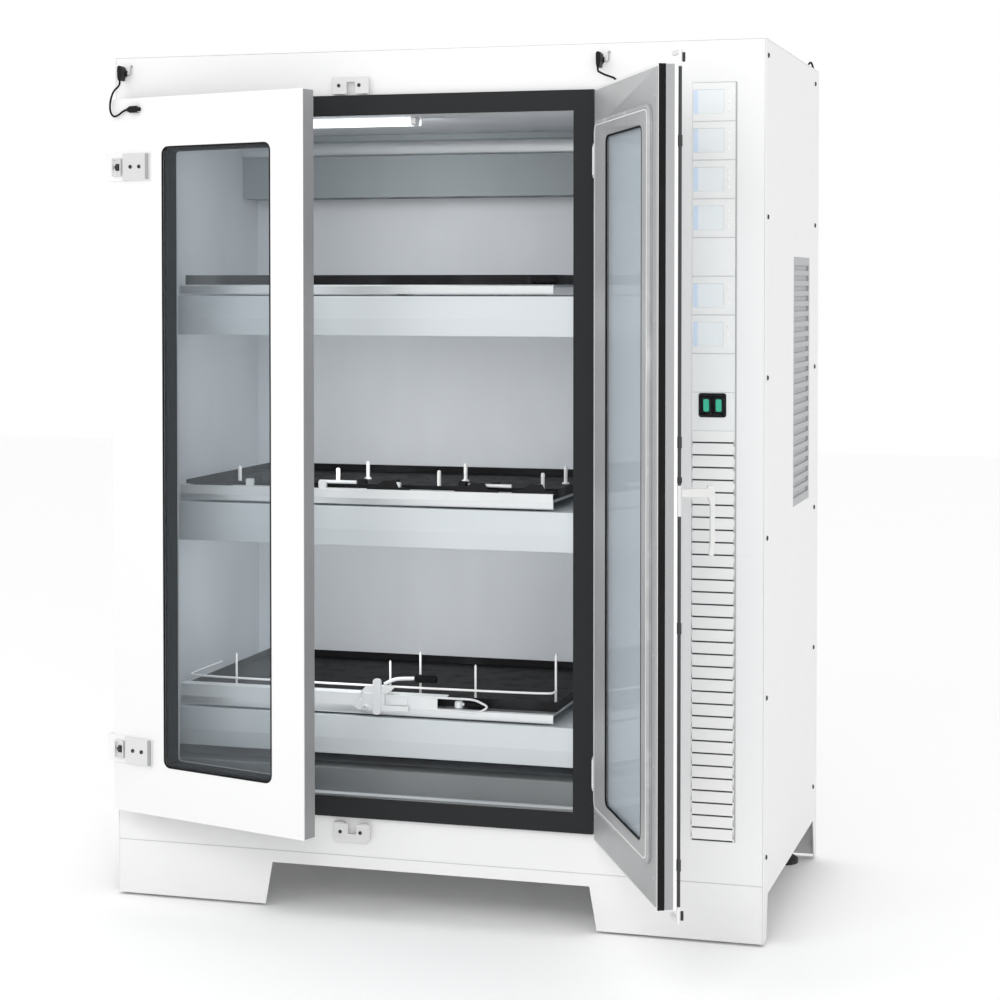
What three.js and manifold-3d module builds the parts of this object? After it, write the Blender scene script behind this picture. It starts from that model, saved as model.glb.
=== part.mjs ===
import * as THREE from "three";
import { mergeVertices } from "three/addons/utils/BufferGeometryUtils.js";
import Module from "manifold-3d";

const wasm = await Module();
wasm.setup();

// Laboratory shaking incubator with three stacked shakers behind two glazed doors.
// Millimetres, +Z up, +X to the right as the doors are faced, the front faces -Y.
// It is drawn from the cabinet's front left corner and moved to its place at the end.

// Cabinet.
const WIDTH = 1518;
const DEPTH = 795;
const HEIGHT = 1950;
const SHEET = 2.5;
const FIT = 0.3;
const FLOOR_GAP = 6;
const PLINTH = 131;
const CUTOUT_HEIGHT = 103;
const CUTOUT_MARGIN = 368;
const CUTOUT_SLANT = 18;
const SIDE_CUTOUT_MARGIN = 36;
const DECK_TOP = 174;
const DECK_THICK = 6;

// Service column on the right.
const SERVICE_WIDTH = 358;
const STRIP_WIDTH = 94;
const STRIP_EDGE = 65;
const STRIP_BOTTOM = 223;
const STRIP_TOP = 1857;
const MODULE_PITCH = 83;
const LOUVRE_COUNT = 33;
const SWITCH_WIDTH = 54;
const SWITCH_HEIGHT = 46;
const SWITCH_Z = 1165;

// Chamber.
const SEAL_EDGE = 17;
const SEAL_WIDTH = 45;
const SEAL_FRONT = 12;
const SEAL_BACK = 10;
const OPEN_BOTTOM = 266;
const OPEN_TOP = 1803;
const LINER_SHEET = 2;
const LINER_DEPTH = 700;
const SILL_HEIGHT = 52;
const SILL_FRONT = 44;
const WALL = 56;
const DUCT_HEIGHT = 158;
const DUCT_DEPTH = 100;

// Shakers.
const TIERS = 3;
const TIER_BASE = 437;
const TIER_PITCH = 480.5;
const APRON = 90;
const APRON_FRONT = 60;
const HOUSING_DEPTH = 585;
const ORBIT = 12.5;
const TRAY_GAP = 66;
const LOCK_FROM_RIGHT = [60, 60, 226];
const CARRIER_THICK = 6;
const TRAY_RIM = 22;
const TRAY_SHEET = 3;
const TRAY_SETBACK = 30;

// Doors.
const DOOR_OVERLAP = { low: 7, high: 0 };
const DOOR_THICK = 38;
const DOOR_STANDOFF = 15;
const WINDOW_MARGIN = { hinge: 150, free: 89, low: 113, high: 112 };
const BEZEL_MARGIN = { hinge: 46, free: 48, low: 86, high: 83 };
const BEZEL_LIFT = 9;
const GASKET_WIDTH = 9;
const CORNER = 18;
const MEETING_GAP = 2;
const HINGE_INSET = 10.5;
const HINGE_GAP = 17.5;
const HINGE_DEPTH = 20;
const HINGE_RADIUS = 7;
const HINGE_HEIGHT = 62;
const HINGE_Z = [357, 1692];
const LEFT_OPEN = 16.4;
const RIGHT_OPEN = 116.5;
const ROD_RADIUS = 3.5;
const ROD_STANDOFF = 5.5;
const ROD_OVERSHOOT = 27;
const CAM_REACH = 50;
const HANDLE_Z = 1037;
const HANDLE_DROP = 139;
const HANDLE_REACH = 66;

// Derived sizes.
const serviceLeft = WIDTH - SERVICE_WIDTH;
const meeting = serviceLeft / 2;
const openLeft = SEAL_EDGE + SEAL_WIDTH;
const openRight = serviceLeft - openLeft;
const sealBottom = OPEN_BOTTOM - SEAL_WIDTH;
const sealTop = OPEN_TOP + SEAL_WIDTH;
const doorLow = sealBottom - DOOR_OVERLAP.low;
const doorHigh = sealTop + DOOR_OVERLAP.high;
const linerBack = SEAL_BACK + FIT + LINER_DEPTH;
const stripLeft = WIDTH - STRIP_EDGE - STRIP_WIDTH;
const stripRight = WIDTH - STRIP_EDGE;
const louvreTop = STRIP_TOP - 9 * MODULE_PITCH;
const cladTop = HEIGHT - SHEET - FIT;
const tierTops = [];
for (let i = 0; i < TIERS; i++) {
  tierTops.push(TIER_BASE + TIER_PITCH * (TIERS - 1 - i));
}

const object = new THREE.Group();
object.name = "laboratory_incubator";

const finishes = {
  white: new THREE.MeshStandardMaterial({ color: 0xf1f1ef, roughness: 0.42, metalness: 0.0 }),
  steel: new THREE.MeshStandardMaterial({ color: 0xb9bcbf, roughness: 0.32, metalness: 0.9 }),
  charcoal: new THREE.MeshStandardMaterial({ color: 0x2b2e31, roughness: 0.6, metalness: 0.1 }),
  black: new THREE.MeshStandardMaterial({ color: 0x111214, roughness: 0.55, metalness: 0.0 }),
  grey: new THREE.MeshStandardMaterial({ color: 0x9aa0a4, roughness: 0.5, metalness: 0.3 }),
  pale: new THREE.MeshStandardMaterial({ color: 0xd9dcdd, roughness: 0.45, metalness: 0.1 }),
  rubber: new THREE.MeshStandardMaterial({ color: 0x17181a, roughness: 0.85, metalness: 0.0 }),
  glass: new THREE.MeshStandardMaterial({ color: 0x8fa3ac, roughness: 0.08, metalness: 0.0 }),
  green: new THREE.MeshStandardMaterial({ color: 0x1f8f62, roughness: 0.4, metalness: 0.0 }),
  foam: new THREE.MeshStandardMaterial({ color: 0xd8cfae, roughness: 0.9, metalness: 0.0 }),
};

const byName = {};
function piece(name, geometry, finish, parent = object) {
  const mesh = new THREE.Mesh(geometry, finishes[finish].clone());
  mesh.name = name;
  parent.add(mesh);
  byName[name] = mesh;
  return mesh;
}

function box(x0, x1, y0, y1, z0, z1) {
  const g = new THREE.BoxGeometry(x1 - x0, y1 - y0, z1 - z0);
  g.translate((x0 + x1) / 2, (y0 + y1) / 2, (z0 + z1) / 2);
  return g;
}

function upright(radius, z0, z1, x, y, sides = 24) {
  const g = new THREE.CylinderGeometry(radius, radius, z1 - z0, sides);
  g.rotateX(Math.PI / 2);
  g.translate(x, y, (z0 + z1) / 2);
  return g;
}

function solid(geometry) {
  const g = geometry.clone();
  g.deleteAttribute("normal");
  g.deleteAttribute("uv");
  const m = mergeVertices(g, 1e-4);
  return new wasm.Manifold(new wasm.Mesh({
    numProp: 3,
    vertProperties: new Float32Array(m.attributes.position.array),
    triVerts: new Uint32Array(m.index.array),
  }));
}

function surface(manifold) {
  const m = manifold.getMesh();
  const g = new THREE.BufferGeometry();
  g.setAttribute("position", new THREE.BufferAttribute(new Float32Array(m.vertProperties), 3));
  g.setIndex(new THREE.BufferAttribute(new Uint32Array(m.triVerts), 1));
  const flat = g.toNonIndexed();
  flat.computeVertexNormals();
  return flat;
}

function join(first, ...rest) {
  let m = solid(first);
  for (const g of rest) m = m.add(solid(g));
  return surface(m);
}

function cut(first, ...rest) {
  let m = solid(first);
  for (const g of rest) m = m.subtract(solid(g));
  return surface(m);
}

// Flat outline in X and Z, given thickness along Y.
function plateXZ(points, y0, y1) {
  const shape = new THREE.Shape(points.map(([x, z]) => new THREE.Vector2(x, z)));
  const g = new THREE.ExtrudeGeometry(shape, { depth: y1 - y0, bevelEnabled: false });
  g.rotateX(Math.PI / 2);
  g.translate(0, y1, 0);
  return g;
}

// Flat outline in Y and Z, given length along X.
function barYZ(points, x0, x1) {
  const shape = new THREE.Shape(points.map(([y, z]) => new THREE.Vector2(y, z)));
  const g = new THREE.ExtrudeGeometry(shape, { depth: x1 - x0, bevelEnabled: false });
  g.rotateX(Math.PI / 2);
  g.rotateZ(Math.PI / 2);
  g.translate(x0, 0, 0);
  return g;
}

// Rectangle with rounded corners in X and Z, given thickness along Y.
function roundedXZ(x0, x1, z0, z1, radius, y0, y1) {
  const points = [];
  const centres = [
    [x1 - radius, z1 - radius, 0],
    [x0 + radius, z1 - radius, 90],
    [x0 + radius, z0 + radius, 180],
    [x1 - radius, z0 + radius, 270],
  ];
  for (const [cx, cz, start] of centres) {
    for (let k = 0; k <= 4; k++) {
      const a = THREE.MathUtils.degToRad(start + 22.5 * k);
      points.push([cx + radius * Math.cos(a), cz + radius * Math.sin(a)]);
    }
  }
  return plateXZ(points, y0, y1);
}

// Cladding: sheet panels that run down to the floor as four short legs.
const reach = 50;
const cutLow = FLOOR_GAP - reach;
const slope = CUTOUT_SLANT / CUTOUT_HEIGHT;
function legCutout(from, to) {
  const low = slope * (CUTOUT_HEIGHT - cutLow);
  return [
    [from + CUTOUT_SLANT - low, cutLow],
    [to - CUTOUT_SLANT + low, cutLow],
    [to - CUTOUT_SLANT, CUTOUT_HEIGHT],
    [from + CUTOUT_SLANT, CUTOUT_HEIGHT],
  ];
}
const sideCutout = legCutout(SIDE_CUTOUT_MARGIN, DEPTH - SIDE_CUTOUT_MARGIN);
const frontCutout = legCutout(CUTOUT_MARGIN, WIDTH - CUTOUT_MARGIN);

piece(
  "left_side_panel",
  cut(box(0, SHEET, 0, DEPTH, FLOOR_GAP, cladTop), barYZ(sideCutout, -reach, reach)),
  "white",
);
const ventFront = 394;
const ventBack = 642;
const ventBottom = 911;
const ventTop = 1488;
piece(
  "right_side_panel",
  cut(
    box(WIDTH - SHEET, WIDTH, 0, DEPTH, FLOOR_GAP, cladTop),
    barYZ(sideCutout, WIDTH - reach, WIDTH + reach),
    box(WIDTH - reach, WIDTH + reach, ventFront, ventBack, ventBottom, ventTop),
  ),
  "white",
);
piece("top_panel", box(0, WIDTH, 0, DEPTH, HEIGHT - SHEET, HEIGHT), "white");
piece(
  "front_skirt",
  cut(
    box(SHEET + FIT, WIDTH - SHEET - FIT, 0, SHEET, FLOOR_GAP, PLINTH - FIT),
    plateXZ(frontCutout, -reach, reach),
  ),
  "white",
);
piece(
  "back_panel",
  cut(
    box(SHEET + FIT, WIDTH - SHEET - FIT, DEPTH - SHEET, DEPTH, FLOOR_GAP, cladTop),
    plateXZ(frontCutout, DEPTH - reach, DEPTH + reach),
  ),
  "white",
);
piece(
  "front_fascia",
  cut(
    box(SHEET + FIT, WIDTH - SHEET - FIT, 0, SHEET, PLINTH, cladTop),
    box(SEAL_EDGE - FIT, serviceLeft - SEAL_EDGE + FIT, -reach, reach, sealBottom - FIT, sealTop + FIT),
    box(stripLeft - FIT, stripRight + FIT, -reach, reach, STRIP_BOTTOM - FIT, STRIP_TOP + FIT),
  ),
  "white",
);
piece(
  "base_deck",
  box(SHEET + FIT, WIDTH - SHEET - FIT, SHEET + FIT, DEPTH - SHEET - FIT, DECK_TOP - DECK_THICK, DECK_TOP),
  "steel",
);

// Grey grille that lets air into the service column through the right side.
const slatPitch = 24;
const ventDepth = 9;
const ventX = WIDTH - ventDepth;
const slatCount = Math.floor((ventTop - ventBottom - 24) / slatPitch);
const slatBottom = (ventBottom + ventTop - slatCount * slatPitch) / 2;
const ventSlots = [];
for (let i = 0; i < slatCount; i++) {
  const z = slatBottom + i * slatPitch;
  ventSlots.push(box(WIDTH - 5, WIDTH + 5, ventFront + 12, ventBack - 12, z + 6, z + slatPitch - 6));
}
piece(
  "side_vent",
  cut(
    box(ventX, WIDTH, ventFront + FIT, ventBack - FIT, ventBottom + FIT, ventTop - FIT),
    ...ventSlots,
  ),
  "grey",
);

// Levelling feet under the deck, one in each corner.
const footInset = 72;
const footSpots = {
  front_left: [footInset, footInset],
  front_right: [WIDTH - footInset, footInset],
  back_left: [footInset, DEPTH - footInset],
  back_right: [WIDTH - footInset, DEPTH - footInset],
};
for (const [corner, [x, y]] of Object.entries(footSpots)) {
  const profile = [
    [0, 0],
    [38, 0],
    [38, 10],
    [30, 16],
    [16, 20],
    [16, 34],
    [9, 34],
    [9, DECK_TOP - DECK_THICK - FIT],
    [0, DECK_TOP - DECK_THICK - FIT],
  ];
  const foot = new THREE.LatheGeometry(profile.map(([r, z]) => new THREE.Vector2(r, z)), 16);
  foot.rotateX(Math.PI / 2);
  foot.translate(x, y, 0);
  piece(`foot_${corner}`, join(foot), "grey");
}

// Insulated chamber: foam block, folded steel liner with a raised sill, seal frame.
const linerLeft = openLeft - LINER_SHEET;
const linerRight = openRight + LINER_SHEET;
const linerBottom = OPEN_BOTTOM - LINER_SHEET;
const linerTop = OPEN_TOP + LINER_SHEET;
const linerFront = SEAL_BACK + FIT;
piece(
  "insulation_shell",
  cut(
    box(openLeft - WALL, openRight + WALL, linerFront, linerBack + WALL, DECK_TOP + FIT, OPEN_TOP + 130),
    box(linerLeft - FIT, linerRight + FIT, -reach, linerBack + FIT, linerBottom - FIT, linerTop + FIT),
  ),
  "foam",
);
piece(
  "chamber_liner",
  cut(
    box(linerLeft, linerRight, linerFront, linerBack, linerBottom, linerTop),
    box(openLeft, openRight, -reach, SILL_FRONT, OPEN_BOTTOM, OPEN_TOP),
    box(openLeft, openRight, -reach, linerBack - LINER_SHEET, OPEN_BOTTOM + SILL_HEIGHT, OPEN_TOP),
  ),
  "steel",
);
piece(
  "seal_frame",
  cut(
    box(SEAL_EDGE, serviceLeft - SEAL_EDGE, -SEAL_FRONT, SEAL_BACK, sealBottom, sealTop),
    box(openLeft, openRight, -reach, reach, OPEN_BOTTOM, OPEN_TOP),
  ),
  "charcoal",
);
const ductBack = linerBack - LINER_SHEET - FIT;
const ductFront = ductBack - DUCT_DEPTH;
const ductBottom = OPEN_TOP - DUCT_HEIGHT;
const ductTop = OPEN_TOP - FIT;
const inlets = [];
for (let i = 0; i < 6; i++) {
  const x = openLeft + 60 + i * ((openRight - openLeft - 120) / 6);
  inlets.push(box(x + 10, x + 130, ductFront + 25, ductBack - 25, ductBottom - 5, ductBottom + 5));
}
piece(
  "duct_cover",
  cut(
    box(openLeft + FIT, openRight - FIT, ductFront, ductBack, ductBottom, ductTop),
    box(openLeft + 2, openRight - 2, ductFront + 2, ductBack + 9, ductBottom + 2, ductTop - 2),
    ...inlets,
  ),
  "grey",
);
const fanX = meeting;
const fanZ = (ductBottom + ductTop) / 2;
const motor = new THREE.CylinderGeometry(34, 34, 46, 24);
motor.translate(fanX, ductBack - 23, 0);
motor.translate(0, 0, fanZ);
const motorShaft = new THREE.CylinderGeometry(5, 5, 60, 12);
motorShaft.translate(fanX, ductBack - 50, fanZ);
piece("fan_motor", join(motor, motorShaft), "black");
const hub = new THREE.CylinderGeometry(20, 20, 16, 20);
let impeller = solid(hub);
for (let i = 0; i < 6; i++) {
  const blade = new THREE.BoxGeometry(46, 3, 24);
  blade.rotateX(THREE.MathUtils.degToRad(24));
  blade.translate(38, 0, 0);
  blade.rotateY((i * Math.PI) / 3);
  impeller = impeller.add(solid(blade));
}
impeller = impeller.subtract(solid(new THREE.CylinderGeometry(5.6, 5.6, 40, 12)));
const fanY = ductFront + 32;
const impellerGeometry = surface(impeller);
impellerGeometry.translate(fanX, fanY, fanZ);
piece("fan_impeller", impellerGeometry, "steel");
const heaterRod = new THREE.CylinderGeometry(8, 8, 300, 12);
heaterRod.rotateZ(Math.PI / 2);
heaterRod.translate(openRight - 220, (ductFront + ductBack) / 2, fanZ);
piece("heater", join(heaterRod), "steel");
piece(
  "ceiling_lamp",
  barYZ(
    [
      [90, OPEN_TOP - FIT],
      [95, OPEN_TOP - 16],
      [135, OPEN_TOP - 16],
      [140, OPEN_TOP - FIT],
    ],
    openLeft + 50,
    openLeft + 640,
  ),
  "pale",
);

// Shakers: each has a folded housing, a motor, an eccentric crank, a carrier and a tray.
const midX = (openLeft + openRight) / 2;
const carrierLeft = openLeft + TRAY_GAP;
const carrierRight = openRight - TRAY_GAP;
const carrierFront = APRON_FRONT + 14;
const carrierBack = carrierFront + HOUSING_DEPTH - 25;
const midY = (carrierFront + carrierBack) / 2;
const housingHole = 30;
const lockX = LOCK_FROM_RIGHT.map((inward) => carrierRight - inward);
const lockY = carrierFront + 14;
for (let i = 0; i < TIERS; i++) {
  const top = tierTops[i];
  const label = i + 1;
  const housingProfile = [
    [APRON_FRONT, top],
    [APRON_FRONT, top - 52],
    [APRON_FRONT + 7, top - APRON],
    [APRON_FRONT + 10, top - APRON],
    [APRON_FRONT + 3, top - 52],
    [APRON_FRONT + 3, top - 3],
    [APRON_FRONT + HOUSING_DEPTH, top - 3],
    [APRON_FRONT + HOUSING_DEPTH, top],
  ];
  piece(
    `drive_housing_${label}`,
    cut(
      barYZ(housingProfile, openLeft + FIT, openRight - FIT),
      upright(housingHole, top - 20, top + 20, midX, midY),
    ),
    "pale",
  );
  piece(
    `drive_motor_${label}`,
    cut(
      join(
        upright(72, top - 78, top - 3 - FIT, midX, midY),
        upright(housingHole - 2, top - 10, top + 1, midX, midY),
      ),
      upright(12.5, top - 22, top + 20, midX, midY),
    ),
    "black",
  );
  const counterweight = new THREE.Shape();
  counterweight.absarc(0, 0, 88, Math.PI / 2, (3 * Math.PI) / 2, false);
  const weight = new THREE.ExtrudeGeometry(counterweight, {
    depth: 8,
    bevelEnabled: false,
    curveSegments: 10,
  });
  weight.translate(midX, midY, top + 3);
  piece(
    `crank_${label}`,
    join(
      upright(12, top - 20, top + 4, midX, midY),
      upright(46, top + 3, top + 11, midX, midY),
      weight,
      upright(10, top + 10, top + 22, midX + ORBIT, midY, 20),
    ),
    "steel",
  );
  const carrierTop = top + 20 + CARRIER_THICK;
  piece(
    `tray_carrier_${label}`,
    cut(
      join(
        box(carrierLeft, carrierRight, carrierFront, carrierBack, top + 20, carrierTop),
        upright(28, top + 12, top + 21, midX + ORBIT, midY),
      ),
      upright(10.5, top, top + 22 + FIT, midX + ORBIT, midY, 20),
    ),
    "steel",
  );
  const trayFloor = carrierTop + FIT;
  piece(
    `tray_${label}`,
    cut(
      box(
        carrierLeft,
        carrierRight,
        carrierFront + TRAY_SETBACK,
        carrierBack,
        trayFloor,
        trayFloor + TRAY_RIM,
      ),
      box(
        carrierLeft + TRAY_SHEET,
        carrierRight - TRAY_SHEET,
        carrierFront + TRAY_SETBACK + TRAY_SHEET,
        carrierBack - TRAY_SHEET,
        trayFloor + TRAY_SHEET,
        trayFloor + reach,
      ),
    ),
    "black",
  );
  piece(
    `tray_lock_${label}`,
    join(
      upright(10, trayFloor, trayFloor + 16, lockX[i], lockY, 16),
      box(lockX[i] - 4, lockX[i] + 70, lockY - 6, lockY + 6, trayFloor + 6, trayFloor + 14),
    ),
    "black",
  );
}

// Service column: louvred panel, control strip with its recessed displays, two rockers.
const louvrePitch = (louvreTop - STRIP_BOTTOM - 14) / LOUVRE_COUNT;
const louvreProfile = [[8, STRIP_BOTTOM], [-1, STRIP_BOTTOM]];
for (let i = 0; i < LOUVRE_COUNT; i++) {
  const z = STRIP_BOTTOM + 7 + i * louvrePitch;
  louvreProfile.push([-1, z]);
  louvreProfile.push([3, z + 2]);
  louvreProfile.push([-1, z + louvrePitch * 0.6]);
}
louvreProfile.push([-1, louvreTop - FIT]);
louvreProfile.push([8, louvreTop - FIT]);
piece("louvre_panel", barYZ(louvreProfile, stripLeft, stripRight), "white");

const panelBack = 14;
const switchLeft = stripLeft + 18;
const recesses = [];
const moduleRows = [0, 1, 2, 3, 5, 6];
for (const row of moduleRows) {
  const top = STRIP_TOP - row * MODULE_PITCH;
  recesses.push(box(stripLeft + 2, stripLeft + 69, -5, 0.5, top - 67, top - 15));
}
for (let row = 1; row <= 7; row++) {
  const z = STRIP_TOP - row * MODULE_PITCH;
  recesses.push(box(stripLeft - 5, stripRight + 5, -5, 0.5, z - 0.6, z + 0.6));
}
recesses.push(
  box(
    switchLeft,
    switchLeft + SWITCH_WIDTH,
    -5,
    panelBack - 3,
    SWITCH_Z - SWITCH_HEIGHT / 2,
    SWITCH_Z + SWITCH_HEIGHT / 2,
  ),
);
piece(
  "control_panel",
  cut(box(stripLeft, stripRight, -1, panelBack, louvreTop, STRIP_TOP), ...recesses),
  "white",
);
const rockerTilt = 6;
for (let i = 0; i < 2; i++) {
  const rocker = new THREE.BoxGeometry(SWITCH_WIDTH / 2 - 3, 8, SWITCH_HEIGHT - 8);
  rocker.rotateX(THREE.MathUtils.degToRad(rockerTilt));
  rocker.translate(switchLeft + SWITCH_WIDTH * (0.25 + 0.5 * i), 2, SWITCH_Z);
  piece(`rocker_${i + 1}`, rocker, "green");
}
const bayFront = panelBack + FIT;
piece("controller_box", box(stripLeft - 30, stripRight + 20, bayFront, 240, 1270, 1845), "grey");
piece("power_unit", box(serviceLeft + 50, WIDTH - 60, 70, 340, DECK_TOP + FIT, 420), "grey");
piece("cooling_unit", box(serviceLeft + 50, WIDTH - 60, 400, 740, DECK_TOP + FIT, 640), "black");

// Striker brackets that the lock rod's hooks turn into, above and below the doors.
const rodX = meeting + MEETING_GAP / 2 + ROD_RADIUS;
function striker(z0, z1, slotLow, slotHigh) {
  return cut(
    box(meeting - 40, meeting + 40, -12, -FIT, z0, z1),
    box(rodX - 20, rodX + 24, -30, 5, slotLow, slotHigh),
  );
}
piece("striker_top", striker(doorHigh + 3, doorHigh + 42, doorHigh - 9, doorHigh + 31), "steel");
piece(
  "striker_bottom",
  striker(doorLow - 48, doorLow - 4, doorLow - 31, doorLow + 9),
  "steel",
);

// Doors, drawn shut and then swung about their hinge lines. side is 1 for left, -1 for right.
const outerFace = -DOOR_STANDOFF - DOOR_THICK;
const hingeY = -HINGE_DEPTH;
const hingeLeft = HINGE_INSET;
const hingeRight = serviceLeft - HINGE_INSET;
const glandFromHinge = 78;
const PLUG_FROM_EDGE = { left: 24, right: 3 };
const leafEnd = 120;
const glandZ = doorHigh - 26;
function door(name, side, hingeX, openDegrees) {
  const pivot = new THREE.Group();
  pivot.position.set(hingeX, hingeY, 0);
  const sign = side;
  const edgeHinge = HINGE_GAP;
  const width = Math.abs(meeting - hingeX) - MEETING_GAP / 2;
  // Local frame: x from the hinge line towards the meeting edge, mirrored for the right door.
  const bx = (a, b, y0, y1, z0, z1) => {
    const lo = Math.min(sign * a, sign * b);
    const hi = Math.max(sign * a, sign * b);
    return box(lo, hi, y0, y1, z0, z1);
  };
  const rx = (a, b, z0, z1, r, y0, y1) => {
    const lo = Math.min(sign * a, sign * b);
    const hi = Math.max(sign * a, sign * b);
    return roundedXZ(lo, hi, z0, z1, r, y0, y1);
  };
  const face = outerFace - hingeY;
  const back = -DOOR_STANDOFF - hingeY;
  // A rounded upright slab inside the door's outline, in from it by the given margins.
  const inset = (by, extra, radius, y0, y1) =>
    rx(
      edgeHinge + by.hinge + extra,
      width - by.free - extra,
      doorLow + by.low + extra,
      doorHigh - by.high - extra,
      radius,
      y0,
      y1,
    );
  // A barrel on the hinge line, and a leaf round the door's edge that ends on its outer face.
  const hinges = HINGE_Z.flatMap((z) => [
    bx(2, edgeHinge + leafEnd, face - 4, face + 1, z - HINGE_HEIGHT / 2, z + HINGE_HEIGHT / 2),
    bx(2, edgeHinge + 1, face - 4, 2, z - HINGE_HEIGHT / 2, z + HINGE_HEIGHT / 2),
    upright(HINGE_RADIUS, z - HINGE_HEIGHT / 2, z + HINGE_HEIGHT / 2, 0, 0, 16),
  ]);
  const gland = bx(glandFromHinge, glandFromHinge + 28, face - 10, face + 1, glandZ - 6, glandZ + 6);
  piece(
    `${name}_door_shell`,
    cut(
      join(bx(edgeHinge, width, face, back, doorLow, doorHigh), ...hinges, gland),
      inset(WINDOW_MARGIN, 0, CORNER, face - 20, back + 20),
    ),
    "white",
    pivot,
  );
  const panBack = back + FIT + 2;
  piece(
    `${name}_door_liner`,
    cut(
      join(
        bx(edgeHinge + 6, width - 6, back + FIT, panBack, doorLow + 6, doorHigh - 6),
        inset(BEZEL_MARGIN, 0, CORNER, back + FIT + 1, panBack + BEZEL_LIFT),
      ),
      inset(WINDOW_MARGIN, 0, CORNER, back - 20, back + 20),
    ),
    "steel",
    pivot,
  );
  piece(
    `${name}_door_glass`,
    inset(WINDOW_MARGIN, FIT, CORNER - FIT, face + 3, panBack + BEZEL_LIFT - 3),
    "glass",
    pivot,
  );
  const seat = panBack + FIT;
  piece(
    `${name}_door_gasket`,
    cut(
      inset(BEZEL_MARGIN, -GASKET_WIDTH, CORNER + GASKET_WIDTH, seat, panBack + BEZEL_LIFT),
      inset(BEZEL_MARGIN, -FIT, CORNER + FIT, back, panBack + reach),
    ),
    "rubber",
    pivot,
  );
  pivot.rotation.z = THREE.MathUtils.degToRad(-side * openDegrees);
  object.add(pivot);
  return { pivot, face, width, sign };
}
const leftDoor = door("left", 1, hingeLeft, LEFT_OPEN);
const rightDoor = door("right", -1, hingeRight, RIGHT_OPEN);

// Lock rod on the right door's outer face: hooks at both ends, lever handle in the middle.
const rodLocalX = -(rightDoor.width - ROD_RADIUS);
const rodLocalY = rightDoor.face - ROD_STANDOFF;
const camThick = 8;
const rodLow = doorLow - ROD_OVERSHOOT;
const rodHigh = doorHigh + ROD_OVERSHOOT;
piece(
  "lock_rod",
  join(
    upright(ROD_RADIUS, rodLow, rodHigh, rodLocalX, rodLocalY, 12),
    box(rodLocalX, rodLocalX + CAM_REACH, rodLocalY - 4, rodLocalY + 4, rodHigh - camThick, rodHigh),
    box(rodLocalX, rodLocalX + CAM_REACH, rodLocalY - 4, rodLocalY + 4, rodLow, rodLow + camThick),
  ),
  "black",
  rightDoor.pivot,
);
const gripY = rodLocalY - HANDLE_REACH + ROD_STANDOFF;
piece(
  "door_handle",
  cut(
    join(
      upright(ROD_RADIUS + 1.7, HANDLE_Z - 60, HANDLE_Z, rodLocalX, rodLocalY, 16),
      box(rodLocalX - 5, rodLocalX + 5, gripY, rodLocalY, HANDLE_Z - 24, HANDLE_Z - 6),
      box(rodLocalX - 5, rodLocalX + 5, gripY - 12, gripY + 6, HANDLE_Z - HANDLE_DROP, HANDLE_Z),
    ),
    upright(ROD_RADIUS + FIT, HANDLE_Z - 90, HANDLE_Z + 30, rodLocalX, rodLocalY, 12),
  ),
  "white",
  rightDoor.pivot,
);

// Heated-glass leads: they leave the fascia, hang in a loop and enter the gland on the door.
object.updateMatrixWorld(true);
function doorLead(name, door, plugX, plugZ) {
  const inDoor = (x, y, z) => new THREE.Vector3(door.sign * x, y, z).applyMatrix4(door.pivot.matrix);
  const bend = 13;
  const points = [new THREE.Vector3(plugX, -FIT, plugZ)];
  for (let turn = 0; turn <= 90; turn += 30) {
    const a = THREE.MathUtils.degToRad(turn);
    const drop = bend - bend * Math.cos(a);
    points.push(new THREE.Vector3(plugX, -bend - bend * Math.sin(a), plugZ - drop));
  }
  points.push(new THREE.Vector3(plugX, -2 * bend - 0.6, plugZ - 27));
  // The hanging loop, from the gland backwards: along the door, off its face, up from the gland.
  const loop = [
    [47, 8, 42],
    [54.5, 9, 24],
    [56.5, 9, 6],
    [53, 9, -7],
    [45, 8, -14],
    [33, 7, -11],
    [21, 6, -4],
    [10, 5, 0.3],
    [FIT, 5, 0],
  ];
  for (const [along, off, rise] of loop) {
    points.push(inDoor(glandFromHinge - along, door.face - off, glandZ + rise));
  }
  const path = new THREE.CatmullRomCurve3(points, false, "centripetal");
  const ring = new THREE.Shape();
  ring.absarc(0, 0, 2.3, 0, 2 * Math.PI, false);
  const cord = new THREE.ExtrudeGeometry(ring, { steps: 42, extrudePath: path, curveSegments: 4 });
  piece(name, cord, "rubber");
  return path.getLength();
}
const plugZ = HEIGHT - 38;
const leads = [
  doorLead("left_door_lead", leftDoor, PLUG_FROM_EDGE.left, plugZ),
  doorLead("right_door_lead", rightDoor, serviceLeft - PLUG_FROM_EDGE.right, plugZ),
];
object.userData.leads = leads;

// The origin is on the floor, under the middle of everything but the leads.
object.updateMatrixWorld(true);
const bounds = new THREE.Box3();
for (const [name, mesh] of Object.entries(byName)) {
  if (!name.endsWith("_lead")) bounds.expandByObject(mesh, true);
}
const centre = bounds.getCenter(new THREE.Vector3());
object.position.set(-centre.x, -centre.y, -bounds.min.z);

export default object;
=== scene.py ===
import math

import bmesh
import bpy
from mathutils import Matrix, Vector


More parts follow.
